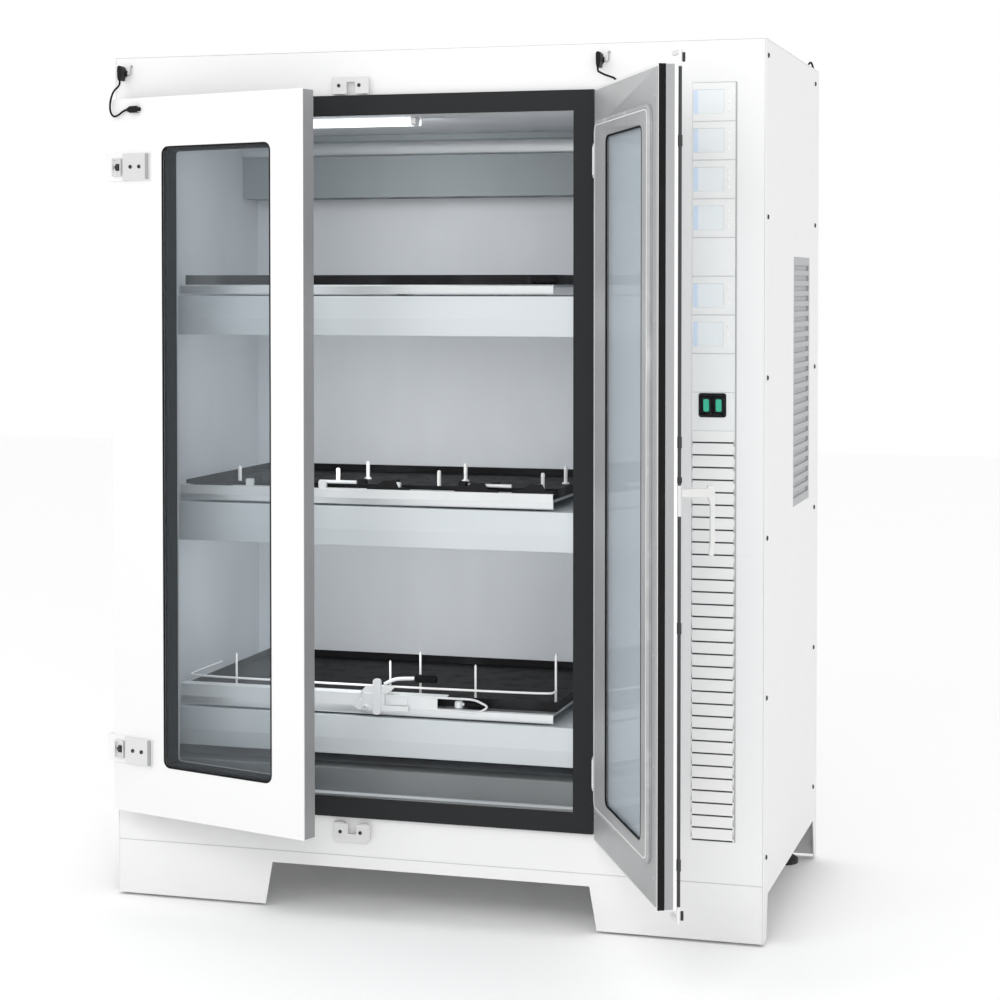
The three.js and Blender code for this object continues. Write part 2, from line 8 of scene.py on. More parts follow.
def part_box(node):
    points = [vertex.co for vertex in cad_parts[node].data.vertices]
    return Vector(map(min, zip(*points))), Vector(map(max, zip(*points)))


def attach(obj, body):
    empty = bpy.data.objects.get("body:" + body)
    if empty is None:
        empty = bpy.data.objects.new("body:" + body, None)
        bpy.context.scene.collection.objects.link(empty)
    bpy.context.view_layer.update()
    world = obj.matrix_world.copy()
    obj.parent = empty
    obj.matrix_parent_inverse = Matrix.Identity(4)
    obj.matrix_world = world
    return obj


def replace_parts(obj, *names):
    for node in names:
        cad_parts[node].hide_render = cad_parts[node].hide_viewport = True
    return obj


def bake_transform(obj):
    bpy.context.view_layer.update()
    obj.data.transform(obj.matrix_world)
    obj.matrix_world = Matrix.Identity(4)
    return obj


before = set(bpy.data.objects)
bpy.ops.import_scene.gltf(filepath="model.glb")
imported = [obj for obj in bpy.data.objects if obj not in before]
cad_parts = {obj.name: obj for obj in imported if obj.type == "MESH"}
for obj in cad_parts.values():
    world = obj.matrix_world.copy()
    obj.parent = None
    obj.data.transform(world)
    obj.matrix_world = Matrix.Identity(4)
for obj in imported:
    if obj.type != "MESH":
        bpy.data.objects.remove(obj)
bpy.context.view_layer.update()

# Studio: the viewer stands to the right of the cabinet, with the eye a little above its middle
# height, and the whole cabinet with both open doors in view.
scene = bpy.context.scene
left_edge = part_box("left_side_panel")[0][0]
front_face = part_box("front_fascia")[0][1]
cabinet = Matrix.Translation((left_edge, front_face, 0.0)) @ Matrix.Scale(0.001, 4)
lens = bpy.data.cameras.new("viewpoint")
lens.sensor_width = 36.0
lens.lens = 79.89
lens.shift_y = -0.1559
lens.clip_end = 60.0
viewpoint = bpy.data.objects.new("viewpoint", lens)
viewpoint.location = cabinet @ Vector((2294.4, -4701.6, 1421.1))
viewpoint.rotation_euler = (math.radians(88.5), 0.0, math.radians(16.2))
scene.collection.objects.link(viewpoint)
scene.camera = viewpoint
scene.view_settings.view_transform = "Standard"


class Value:
    """One shader value. Arithmetic on it adds the Math nodes that work the sum out."""

    def __init__(self, finish, socket):
        self.finish, self.socket = finish, socket

    def sum(self, operation, first, second):
        return self.finish.node("Math", {"operation": operation}, {0: first, 1: second})

    def __add__(self, other):
        return self.sum("ADD", self, other)

    def __sub__(self, other):
        return self.sum("SUBTRACT", self, other)

    def __mul__(self, other):
        return self.sum("MULTIPLY", self, other)

    def __rsub__(self, other):
        return self.sum("SUBTRACT", other, self)

    __radd__ = __add__
    __rmul__ = __mul__


class Finish:
    """A material and the nodes that make its colour, gloss and relief."""

    def __init__(self, name):
        self.material = bpy.data.materials.new(name)
        self.material.use_nodes = True
        self.tree = self.material.node_tree
        self.tree.nodes.clear()
        self.place = self.node("TexCoord", out="Object")

    def node(self, kind, settings=None, values=None, out=0):
        made = self.tree.nodes.new("ShaderNode" + kind)
        for key, setting in (settings or {}).items():
            if key == "stops":
                ramp = made.color_ramp.elements
                for element, (at, tone) in zip(ramp, (setting[0], setting[-1])):
                    element.position, element.color = at, (*tone, 1.0)
                for at, tone in setting[1:-1]:
                    ramp.new(at).color = (*tone, 1.0)
            else:
                setattr(made, key, setting)
        for key, value in (values or {}).items():
            socket = made.inputs[key]
            if isinstance(value, Value):
                self.tree.links.new(value.socket, socket)
            elif socket.type == "RGBA":
                socket.default_value = (*value, 1.0)
            else:
                socket.default_value = value
        return Value(self, made.outputs[out]) if made.outputs else None

    def noise(self, scale, detail=2.0, stretch=(1.0, 1.0, 1.0), shift=0.0):
        where = self.node(
            "Mapping", {}, {"Vector": self.place, "Scale": stretch, "Location": (shift, shift, shift)}
        )
        return self.node("TexNoise", {}, {"Vector": where, "Scale": scale, "Detail": detail})

    def spread(self, value, low, high):
        return self.node("MapRange", {"interpolation_type": "SMOOTHSTEP"}, {0: value, 1: low, 2: high})

    def blend(self, share, first, second):
        return self.node("Mix", {"data_type": "RGBA"}, {0: share, 6: first, 7: second}, out=2)

    def surface(self, values, relief=None, height=0.0):
        if relief is not None:
            values["Normal"] = self.node("Bump", {}, {"Distance": height, "Height": relief})
        shader = self.node("BsdfPrincipled", {}, values)
        self.node("OutputMaterial", {}, {"Surface": shader})
        return self.material


# Floor and light: a pale seamless floor in a white room, with a large soft lamp on each side of the
# front, a smaller one towards the open chamber, and a weak one in front of each shaker's bay.
room = bpy.data.worlds.new("room")
room.use_nodes = True
room.node_tree.nodes["Background"].inputs["Color"].default_value = (1.0, 1.0, 1.0, 1.0)
room.node_tree.nodes["Background"].inputs["Strength"].default_value = 1.0
scene.world = room


def soft_lamp(name, size, energy, spot, aim):
    lamp = bpy.data.lights.new(name, "AREA")
    lamp.shape, lamp.size, lamp.energy = "DISK", size, energy
    stand = bpy.data.objects.new(name, lamp)
    stand.visible_camera = False
    stand.visible_glossy = size > 1.0
    stand.location = spot
    stand.rotation_euler = (Vector(aim) - Vector(spot)).to_track_quat("-Z", "Y").to_euler()
    scene.collection.objects.link(stand)


soft_lamp("key_lamp", 2.2, 26.0, (-2.6, -4.2, 4.4), (0.0, -0.1, 0.9))
soft_lamp("fill_lamp", 2.6, 27.0, (2.2, -5.2, 2.4), (0.6, 0.0, 1.0))
soft_lamp("chamber_lamp", 0.9, 12.0, (0.5, -2.6, 1.9), (-0.15, 0.5, 1.0))
for bay, (height, energy) in enumerate(((1770.0, 1.9), (1290.0, 1.8), (810.0, 2.3)), 1):
    spot = cabinet @ Vector((500.0, 110.0, height))
    soft_lamp(f"bay_lamp_{bay}", 0.5, energy, spot, spot + Vector((0.0, 0.5, -0.22)))

floor_finish = Finish("floor_paper")
fibre = floor_finish.noise(90.0, 4.0)
floor_finish.surface(
    {"Base Color": floor_finish.blend(fibre, (0.965, 0.965, 0.965), (0.98, 0.98, 0.98)), "Roughness": 0.9},
    fibre,
    0.0002,
)
floor_mesh = bpy.data.meshes.new("floor")
floor_mesh.from_pydata([(-14, -14, 0), (14, -14, 0), (14, 14, 0), (-14, 14, 0)], [], [(0, 1, 2, 3)])
floor_mesh.materials.append(floor_finish.material)
floor = bpy.data.objects.new("floor", floor_mesh)
scene.collection.objects.link(floor)


# Cabinet cladding: folded mild steel panels, powder coated white, screwed to a frame. The side
# panels run down to the floor as four short legs.
WIDTH, DEPTH, HEIGHT, PLINTH = 1518.0, 795.0, 1950.0, 131.0


def facing(spot, axis, place=cabinet):
    """The place of a turned part: its upright axis starts at the spot and runs along the given one."""
    return place @ Matrix.Translation(spot) @ Vector(axis).to_track_quat("Z", "Y").to_matrix().to_4x4()


def prism(mesh, outline, low, high, place=cabinet, along="y"):
    """Adds a flat outline pushed from low to high along one axis, and gives the mesh back."""

    def point(a, b, depth):
        return Vector({"x": (depth, a, b), "y": (a, depth, b), "z": (a, b, depth)}[along])

    near, far = ([mesh.verts.new(place @ point(a, b, d)) for a, b in outline] for d in (low, high))
    mesh.faces.new(near)
    mesh.faces.new(far[::-1])
    for i in range(len(outline)):
        j = (i + 1) % len(outline)
        mesh.faces.new((near[i], far[i], far[j], near[j]))
    return mesh


def block(mesh, x0, x1, y0, y1, z0, z1, place=cabinet):
    return prism(mesh, [(x0, z0), (x1, z0), (x1, z1), (x0, z1)], y0, y1, place)


def rounded(x0, x1, z0, z1, radius, steps=6):
    """The outline of a rectangle with rounded corners."""
    outline = []
    for cx, cz, start in (
        (x1 - radius, z1 - radius, 0),
        (x0 + radius, z1 - radius, 90),
        (x0 + radius, z0 + radius, 180),
        (x1 - radius, z0 + radius, 270),
    ):
        for k in range(steps + 1):
            a = math.radians(start + 90 * k / steps)
            outline.append((cx + radius * math.cos(a), cz + radius * math.sin(a)))
    return outline


def turning(mesh, profile, place, sides=24):
    """Adds a profile of (radius, height) pairs spun round the upright axis."""
    rings = []
    for r, z in profile:
        if r < 1e-6:
            rings.append([mesh.verts.new(place @ Vector((0, 0, z)))])
        else:
            rings.append([
                mesh.verts.new(place @ Vector((r * math.cos(a), r * math.sin(a), z)))
                for a in (2 * math.pi * k / sides for k in range(sides))
            ])
    for low, high in zip(rings, rings[1:]):
        for k in range(sides):
            n = (k + 1) % sides
            corners = [low[k % len(low)], low[n % len(low)], high[n % len(high)], high[k % len(high)]]
            distinct = list(dict.fromkeys(corners))
            if len(distinct) > 2:
                mesh.faces.new(distinct)
    return mesh


def build(name, mesh, finish, body, soften=0.0, angle=35.0):
    """Makes one piece: rounds its edges by soften millimetres and hangs it on a body."""
    bmesh.ops.recalc_face_normals(mesh, faces=mesh.faces)
    data = bpy.data.meshes.new(name)
    mesh.to_mesh(data)
    mesh.free()
    data.materials.append(finish)
    data.polygons.foreach_set("use_smooth", [True] * len(data.polygons))
    data.set_sharp_from_angle(angle=math.radians(angle))
    piece = bpy.data.objects.new(name, data)
    scene.collection.objects.link(piece)
    if soften:
        edge = piece.modifiers.new("edge", "BEVEL")
        edge.width, edge.segments, edge.limit_method = soften / 1000, 2, "ANGLE"
        edge.angle_limit = math.radians(35)
        edge.harden_normals = True
    if body is not None:
        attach(piece, body)
    return piece


def dress(name, finish, soften=0.0):
    """Gives a CAD node its finish, and rounds its sharp edges a little."""
    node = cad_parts[name]
    for held in node.material_slots:
        held.material = finish
    if soften:
        join = node.modifiers.new("join", "WELD")
        join.merge_threshold = 0.00001
        edge = node.modifiers.new("edge", "BEVEL")
        edge.width, edge.segments, edge.limit_method = soften / 1000, 2, "ANGLE"
        edge.angle_limit = math.radians(30)
        edge.harden_normals = True


def powder_coat(name, tone, gloss=0.36):
    """Powder coat: a fine even orange peel, a little dust low down, faint handling marks."""
    f = Finish(name)
    peel = f.noise(420.0, 2.0)
    cloud = f.noise(2.3, 3.0)
    marks = f.noise(9.0, 5.0, (1.0, 1.0, 3.5), 4.0)
    z = f.node("SeparateXYZ", {}, {0: f.place}, out="Z")
    dust = (1.0 - f.spread(z, 0.0, 0.14)) * marks
    grey = tuple(v * 0.86 for v in tone)
    pale = tuple(min(v * 1.012, 1.0) for v in tone)
    colour = f.blend(f.spread(cloud, 0.3, 0.7), tone, pale)
    colour = f.blend(dust * 0.5 + f.spread(marks, 0.66, 0.8) * 0.12, colour, grey)
    return f.surface({
        "Base Color": colour,
        "Roughness": gloss + cloud * 0.08 + f.spread(marks, 0.5, 0.75) * 0.08 + dust * 0.2,
        "Specular IOR Level": 0.5,
    }, peel, 0.00004)


white_coat = powder_coat("white_powder_coat", (0.80, 0.80, 0.80))
for name in ("left_side", "right_side", "top", "back"):
    dress(f"{name}_panel", white_coat, 0.7)
for name in ("front_skirt", "front_fascia"):
    dress(name, white_coat, 0.7)

# Joint beads: a thin grey bead fills the joint between the skirt, the fascia and the side panels.
bead_finish = Finish("joint_sealant")
bead_grain = bead_finish.noise(160.0, 3.0)
bead_finish.surface({
    "Base Color": bead_finish.blend(bead_grain, (0.50, 0.51, 0.52), (0.60, 0.61, 0.62)),
    "Roughness": 0.55 + bead_grain * 0.2,
}, bead_grain, 0.0001)
bead = bmesh.new()
half_round = [(-1.1, 0.0), (-0.8, -0.35), (0.0, -0.5), (0.8, -0.35), (1.1, 0.0), (0.0, 0.4)]
prism(bead, [(depth, PLINTH + rise) for rise, depth in half_round], 3.0, WIDTH - 3.0, along="x")
build("plinth_bead", bead, bead_finish.material, "cabinet")

# Panel screws: black pan-head machine screws in two upright rows of six on each side panel.
SCREW_ROWS = [1914.0 - 345.0 * k for k in range(6)]
SCREW_FRONT, SCREW_BACK = 27.0, 730.0


def black_oxide(name):
    f = Finish(name)
    grit = f.noise(700.0, 3.0)
    worn = f.spread(f.noise(240.0, 4.0, shift=2.0), 0.58, 0.72)
    return f.surface({
        "Base Color": f.blend(worn, (0.035, 0.036, 0.038), (0.20, 0.20, 0.21)),
        "Metallic": 0.6 + worn * 0.3,
        "Roughness": 0.46 - worn * 0.12,
    }, grit, 0.00005)


dark_screw = black_oxide("black_screw")


def screw(mesh, spot, axis, radius=5.0, place=cabinet):
    """Adds a pan-head screw with a round socket in its crown."""
    r = radius
    profile = [(0, r * 0.12), (r * 0.36, r * 0.12), (r * 0.42, r * 0.55), (r * 0.72, r * 0.5)]
    profile += [(r * 0.93, r * 0.34), (r, r * 0.14), (r, 0.0), (0, 0.0)]
    turning(mesh, profile, facing(spot, axis, place), 14)


for side, x, out in (("left", 0.0, -1), ("right", WIDTH, 1)):
    rows = bmesh.new()
    for z in SCREW_ROWS:
        for y in (SCREW_FRONT, SCREW_BACK):
            screw(rows, (x, y, z), (out, 0, 0), 5.5)
    build(f"side_screws_{side}", rows, dark_screw, "cabinet")

# Base: a powder coated deck carries the chamber, on four levelling feet with hexagon lock nuts. A
# folded galvanised bracket ties each foot to the side panel.
FOOT_INSET = 72.0
DECK_BOTTOM = 168.0


def zinc_sheet(name, tone):
    """Galvanised sheet: angular grains of slightly different grey, soft gloss."""
    f = Finish(name)
    grain = f.node("TexVoronoi", {}, {"Vector": f.place, "Scale": 55.0}, out="Color")
    pick = f.node("SeparateXYZ", {}, {0: grain}, out="X")
    smear = f.noise(14.0, 4.0)
    dark = tuple(v * 0.78 for v in tone)
    return f.surface({
        "Base Color": f.blend(pick * 0.6 + smear * 0.4, dark, tone),
        "Metallic": 0.85,
        "Roughness": 0.34 + pick * 0.12 + smear * 0.1,
    }, smear, 0.0001)


zinc = zinc_sheet("galvanised_sheet", (0.62, 0.64, 0.66))
dress("base_deck", powder_coat("deck_grey", (0.66, 0.665, 0.67), 0.5))
corners = {
    "front_left": (FOOT_INSET, FOOT_INSET),
    "front_right": (WIDTH - FOOT_INSET, FOOT_INSET),
    "back_left": (FOOT_INSET, DEPTH - FOOT_INSET),
    "back_right": (WIDTH - FOOT_INSET, DEPTH - FOOT_INSET),
}
moulded = black_oxide("foot_moulding")
for corner, (x, y) in corners.items():
    dress(f"foot_{corner}", moulded, 0.6)
    nut = bmesh.new()
    at = cabinet @ Matrix.Translation((x, y, 100.0))
    turning(nut, [(9.4, 0), (14, 0), (16, 1.5), (16, 12.5), (14, 14), (9.4, 14), (9.4, 0)], at, 6)
    build(f"foot_nut_{corner}", nut, zinc, "cabinet", 0.3)
    plate = bmesh.new()
    wall_x = 3.0 if x < WIDTH / 2 else WIDTH - 3.0
    inward = 1.0 if x < WIDTH / 2 else -1.0
    lo, hi = sorted((wall_x, wall_x + inward * 100.0))
    block(plate, lo, hi, y - 34, y + 34, DECK_BOTTOM - 3.4, DECK_BOTTOM - 0.4)
    near, far = sorted((wall_x + inward * 0.2, wall_x + inward * 3.2))
    block(plate, near, far, y - 34, y + 34, 112.0, DECK_BOTTOM - 3.4)
    build(f"foot_bracket_{corner}", plate, zinc, "cabinet", 0.5)


# Side grille: a grey moulded louvre clipped into the right side panel.
def moulded_plastic(name, tone, gloss=0.5, grain_height=0.00008):
    """Textured moulding: a fine spark-eroded grain with slightly polished high spots."""
    f = Finish(name)
    grain = f.noise(650.0, 3.0)
    cloud = f.noise(6.0, 3.0, shift=1.0)
    light = tuple(min(v * 1.25 + 0.003, 1.0) for v in tone)
    return f.surface({
        "Base Color": f.blend(f.spread(grain, 0.4, 0.8) * 0.5 + cloud * 0.4, tone, light),
        "Roughness": gloss + grain * 0.12 - cloud * 0.06,
        "Specular IOR Level": 0.18 if max(tone) < 0.1 else 0.5,
    }, grain, grain_height)


grille_grey = moulded_plastic("grille_grey", (0.38, 0.39, 0.40))
dress("side_vent", grille_grey, 0.5)

# Back: a service cover with pressed louvres over the machine bay, screws round the back panel,
# and a mains inlet in a moulded housing low down.
back = bmesh.new()
COVER = (1195.0, 1485.0, 235.0, 905.0)
prism(back, rounded(*COVER, 12.0), DEPTH + 0.2, DEPTH + 2.2)
for k in range(14):
    z = COVER[2] + 60 + 40 * k
    gill = [(0.0, z - 7), (5.0, z - 6), (6.5, z - 3), (3.0, z + 6), (0.0, z + 8)]
    prism(back, [(DEPTH + 2.0 + d, h) for d, h in gill], COVER[0] + 45, COVER[1] - 45, along="x")
build("rear_cover", back, white_coat, "cabinet", 0.5)
rear = bmesh.new()
for x in (COVER[0] + 12, COVER[1] - 12):
    for z in (COVER[2] + 12, (COVER[2] + COVER[3]) / 2, COVER[3] - 12):
        screw(rear, (x, DEPTH + 2.2, z), (0, 1, 0), 5.0)
for k in range(6):
    for x in (18.0, WIDTH / 2, WIDTH - 18.0):
        screw(rear, (x, DEPTH, SCREW_ROWS[k] + (8 if k == 0 else 0)), (0, 1, 0), 5.5)
build("rear_screws", rear, dark_screw, "cabinet")
inlet = prism(bmesh.new(), rounded(1040, 1112, 236, 296, 6), DEPTH + 0.2, DEPTH + 6)
prism(inlet, rounded(1056, 1096, 250, 282, 8), DEPTH + 5.8, DEPTH + 8)
for dx in (-10, 0, 10):
    block(inlet, 1076 + dx - 1.6, 1076 + dx + 1.6, DEPTH + 7.8, DEPTH + 9.4, 262, 272)
black_plastic = moulded_plastic("black_moulding", (0.006, 0.006, 0.007), 0.42)
build("mains_inlet", inlet, black_plastic, "cabinet", 0.4)

# Strikers: a stainless bracket above and below the meeting line, with a painted face plate that has
# a slot for the lock rod, held by two screws.
MEETING = 580.0
DOOR_LOW, DOOR_HIGH = 214.0, 1848.0


def brushed_steel(name, tone, gloss, run=(900.0, 900.0, 7.0)):
    """Brushed stainless: long fine scratches along the run, cloudy hand marks over them."""
    f = Finish(name)
    scratch = f.noise(1.0, 4.0, run)
    fine = f.noise(1.0, 2.0, tuple(v * 2.3 for v in run), 3.0)
    marks = f.spread(f.noise(5.0, 4.0, shift=7.0), 0.35, 0.75)
    dark = tuple(v * 0.8 for v in tone)
    return f.surface({
        "Base Color": f.blend(scratch * 0.7 + fine * 0.3, dark, tone),
        "Metallic": 0.95,
        "Roughness": gloss + scratch * 0.1 + marks * 0.08,
    }, scratch * 0.7 + fine * 0.3, 0.00005)


bright_steel = brushed_steel("bright_steel", (0.80, 0.80, 0.80), 0.26)
striker_coat = powder_coat("striker_coat", (0.66, 0.66, 0.66))
for name, z in (("striker_top", DOOR_HIGH + 22), ("striker_bottom", DOOR_LOW - 26)):
    dress(name, bright_steel, 0.8)
    mouth = 1 if name == "striker_top" else -1
    rim, crown = z + mouth * 19.0, z - mouth * 19.0
    hole = z + (7.5 if name == "striker_top" else -3.5)
    face = [(MEETING - 39, rim), (MEETING - 39, crown), (MEETING - 5, crown), (MEETING - 5, hole)]
    face += [(MEETING + 14, hole), (MEETING + 14, crown), (MEETING + 47, crown), (MEETING + 47, rim)]
    build(f"{name}_plate", prism(bmesh.new(), face, -13.6, -12.2), striker_coat, "cabinet", 0.5)
    pair = bmesh.new()
    for x in (MEETING - 24, MEETING + 24):
        screw(pair, (x, -13.6, z), (0, -1, 0), 4.2)
    build(f"{name}_screws", pair, dark_screw, "cabinet")

# Doors' own frames: each door turns about its outer edge, and stands open as the record says.
HINGE_Y = -20.0
HINGES = {"left": (10.5, 1.0, 16.4), "right": (1149.5, -1.0, 116.5)}
DOOR_WIDTH, DOOR_EDGE = 568.5, 17.5
FACE, BACK = -33.0, 5.0
door_place = {}
for side, (hinge_x, sign, opening) in HINGES.items():
    door_place[side] = (
        cabinet
        @ Matrix.Translation((hinge_x, HINGE_Y, 0.0))
        @ Matrix.Rotation(math.radians(-sign * opening), 4, "Z")
        @ Matrix.Diagonal((sign, 1.0, 1.0, 1.0))
    )


# Heated-glass leads: each leaves an angled plug on the fascia, hangs in a loop over the hinge and
# goes into a gland near the top of the door. A small J hook beside the plug keeps it tidy.
def smooth_path(points, count):
    """An even run of places along a smooth curve through the given ones."""
    held = [Vector(p) for p in points]
    first, last = held[0] * 2 - held[1], held[-1] * 2 - held[-2]
    run = [first, *held, last]
    places = []
    spans = len(held) - 1
    for k in range(count + 1):
        t = k * spans / count
        i = min(int(t), spans - 1)
        w = t - i
        p0, p1, p2, p3 = run[i : i + 4]
        d0, d1, d2 = ((b - a).length ** 0.5 for a, b in ((p0, p1), (p1, p2), (p2, p3)))
        m1 = ((p1 - p0) / d0 - (p2 - p0) / (d0 + d1) + (p2 - p1) / d1) * d1
        m2 = ((p2 - p1) / d1 - (p3 - p1) / (d1 + d2) + (p3 - p2) / d2) * d1
        c2, c3 = (p2 - p1) * 3 - m1 * 2 - m2, (p1 - p2) * 2 + m1 + m2
        places.append(p1 + m1 * w + c2 * w * w + c3 * w**3)
    return places


def tube(mesh, points, radius, sides=10, scale=0.001):
    """Adds a round tube along points in metres; radius is in millimetres, one or one a point."""
    radii = radius if isinstance(radius, list) else [radius] * len(points)
    normal = None
    rings = []
    for i, p in enumerate(points):
        along = (points[min(i + 1, len(points) - 1)] - points[max(i - 1, 0)]).normalized()
        if normal is None:
            normal = along.orthogonal().normalized()
        normal = (normal - along * normal.dot(along)).normalized()
        other = along.cross(normal)
        rings.append([
            mesh.verts.new(p + (normal * math.cos(a) + other * math.sin(a)) * radii[i] * scale)
            for a in (2 * math.pi * k / sides for k in range(sides))
        ])
    for low, high in zip(rings, rings[1:]):
        for k in range(sides):
            n = (k + 1) % sides
            mesh.faces.new((low[k], low[n], high[n], high[k]))
    mesh.faces.new(rings[0][::-1])
    mesh.faces.new(rings[-1])
    return mesh


def rubber(name, tone=(0.004, 0.004, 0.0045), gloss=0.62):
    f = Finish(name)
    skin = f.noise(380.0, 4.0)
    bloom = f.spread(f.noise(22.0, 4.0, shift=5.0), 0.45, 0.8)
    pale = tuple(v * 1.6 + 0.006 for v in tone)
    return f.surface({
        "Base Color": f.blend(bloom * 0.6 + skin * 0.2, tone, pale),
        "Roughness": gloss + bloom * 0.14 - skin * 0.1,
        "Specular IOR Level": 0.15,
    }, skin, 0.00006)


soft_rubber = rubber("black_rubber")
LEAD_RADIUS = 2.3
PLUG_Z = 1912.0
GLAND_X, GLAND_Z = 78.0, DOOR_HIGH - 26.0
for side in HINGES:
    on_door = door_place[side]
    plug_x = 24.0 if side == "left" else 1157.0
    knots = [cabinet @ Vector((plug_x, -0.3, PLUG_Z))]
    knots += [
        cabinet @ Vector((plug_x, -13.0 - 13.0 * math.sin(a), PLUG_Z - 13.0 + 13.0 * math.cos(a)))
        for a in (math.radians(30 * k) for k in range(4))
    ]
    knots += [cabinet @ Vector((plug_x, -26.6, PLUG_Z - 27.0))]
    loop = [(47, 8, 42), (54.5, 9, 24), (56.5, 9, 6), (53, 9, -7), (45, 8, -14), (33, 7, -11), (21, 6, -4)]
    loop += [(10, 5, 0.3), (0.3, 5, 0)]
    knots += [on_door @ Vector((GLAND_X - back, FACE - off, GLAND_Z + up)) for back, off, up in loop]
    path = smooth_path(knots, 39)
    lead_length = sum((b - a).length for a, b in zip(path, path[1:]))
    lead = build(f"{side}_glass_lead", tube(bmesh.new(), path, LEAD_RADIUS, 12),
                 soft_rubber, None, angle=60)
    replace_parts(lead, f"{side}_door_lead")
    plug = bmesh.new()
    at = cabinet @ Matrix.Translation((plug_x, 0, PLUG_Z))
    turning(plug, [(0, 0), (9, 0), (9.5, 2), (8, 4), (0, 4)], facing((plug_x, 0, PLUG_Z), (0, -1, 0)), 20)
    body_side = [(-5, 0), (-5, 12), (-3, 15.5), (1, 16), (5, 12), (6.5, 5), (5.5, -4), (4, -11), (3.2, -18)]
    body_side += [(-3.2, -18), (-4.6, -11)]
    prism(plug, body_side, -30.0, -3.4, at)
    plug_piece = build(f"{side}_lead_plug", plug, black_plastic, "cabinet", 2.0, 50)
    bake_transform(lead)
    hook = bmesh.new()
    hook_x = plug_x + 14
    bend = [(hook_x + 4, 0, 16), (hook_x + 4, -4, 15), (hook_x + 4, -5, 9), (hook_x + 4, -5, -1)]
    bend += [(hook_x, -5, -5.5), (hook_x - 4, -5, -2), (hook_x - 4.6, -5, 2)]
    hooked = [cabinet @ Vector((x, y, PLUG_Z + z)) for x, y, z in bend]
    tube(hook, smooth_path(hooked, 30), 1.4, 10)
    turning(hook, [(0, 0), (3.6, 0), (3.2, 1.4), (0, 1.4)],
            facing((hook_x + 4, 0, PLUG_Z + 16), (0, -1, 0)), 14)
    build(f"{side}_lead_hook", hook, grille_grey, "cabinet", 0.0, 50)
    gland = bmesh.new()
    at = facing((GLAND_X - 1, FACE - 5, GLAND_Z), (1, 0, 0), on_door)
    turning(gland, [(2.4, -8), (3.8, -8), (5.2, -3), (6.4, 0), (6.4, 2), (2.4, 2), (2.4, -8)], at, 16)
    prism(gland, rounded(GLAND_X - 1.5, GLAND_X + 29.5, GLAND_Z - 7.5, GLAND_Z + 7.5, 6.5),
          FACE - 11.4, FACE - 0.2, on_door)
    build(f"{side}_door_gland", gland, black_plastic, f"{side}_door", 1.2, 50)

# Roof cable: a short black cable comes out of a grommet at the top of the back edge, by the right
# corner, loops down and goes back in through the back panel.
CABLE_X = WIDTH - 14.0
cable_knots = [(CABLE_X - 10, DEPTH - 30, HEIGHT), (CABLE_X - 9, DEPTH - 26, HEIGHT + 14)]
cable_knots += [(CABLE_X - 5, DEPTH - 2, HEIGHT + 22), (CABLE_X, DEPTH + 16, HEIGHT - 6)]
cable_knots += [(CABLE_X + 2, DEPTH + 19, HEIGHT - 50), (CABLE_X, DEPTH + 17, HEIGHT - 92)]
cable_knots += [(CABLE_X - 4, DEPTH + 10, HEIGHT - 112), (CABLE_X - 6, DEPTH, HEIGHT - 118)]
cable_path = smooth_path([cabinet @ Vector(p) for p in cable_knots], 36)
cable = tube(bmesh.new(), cable_path, 2.5, 12)
cable_length = sum((b - a).length for a, b in zip(cable_path, cable_path[1:]))
cable_piece = build("roof_cable", cable, soft_rubber, "cabinet", angle=60)
grommets = bmesh.new()
ring_profile = [(2.6, 0.0), (6.5, 0.0), (6.5, 1.2), (5.0, 3.0), (3.4, 3.4), (2.6, 2.6), (2.6, 0.0)]
turning(grommets, ring_profile, cabinet @ Matrix.Translation((CABLE_X - 10, DEPTH - 30, HEIGHT)), 18)
turning(grommets, ring_profile,
        facing((CABLE_X - 6, DEPTH, HEIGHT - 118), (0, 1, 0)), 18)
build("roof_cable_grommets", grommets, soft_rubber, "cabinet", 0.0, 50)

# Chamber front: a charcoal moulded seal frame round the opening, with a bright stainless trim
# pressed over its inner edge.
OPEN = (62.0, 1098.0, 266.0, 1803.0)
charcoal = moulded_plastic("charcoal_moulding", (0.016, 0.017, 0.018), 0.5)
dress("seal_frame", charcoal, 0.8)


def ring(mesh, outline, section, place=cabinet):
    """Adds a section of (outward, depth) pairs swept round a closed outline, mitred."""
    rings = []
    count = len(outline)
    for i, here in enumerate(outline):
        here = Vector(here)
        before, after = Vector(outline[i - 1]), Vector(outline[(i + 1) % count])
        a, b = (here - before).normalized(), (after - here).normalized()
        normal = Vector((a.y + b.y, -a.x - b.x)).normalized()
        reach = 1.0 / max(normal.dot(Vector((a.y, -a.x))), 0.2)
        rings.append([
            mesh.verts.new(place @ Vector((here.x + normal.x * n * reach, d, here.y + normal.y * n * reach)))
            for n, d in section
        ])
    for i in range(count):
        low, high = rings[i], rings[(i + 1) % count]
        for k in range(len(section)):
            n = (k + 1) % len(section)
            mesh.faces.new((low[k], low[n], high[n], high[k]))
    return mesh


trim = bmesh.new()
corners_in = [(OPEN[1], OPEN[2]), (OPEN[1], OPEN[3]), (OPEN[0], OPEN[3]), (OPEN[0], OPEN[2])]
ring(trim, corners_in, [(3.6, -4.02), (3.6, -4.22), (-1.0, -4.22), (-1.0, 12.0), (-0.1, 12.0), (-0.1, -4.02)])
build("opening_trim", trim, bright_steel, "cabinet")

# Chamber: a welded stainless liner in foam insulation, a duct cover along the top of the back
# wall with the fan and heater in it, and a lamp on the ceiling.


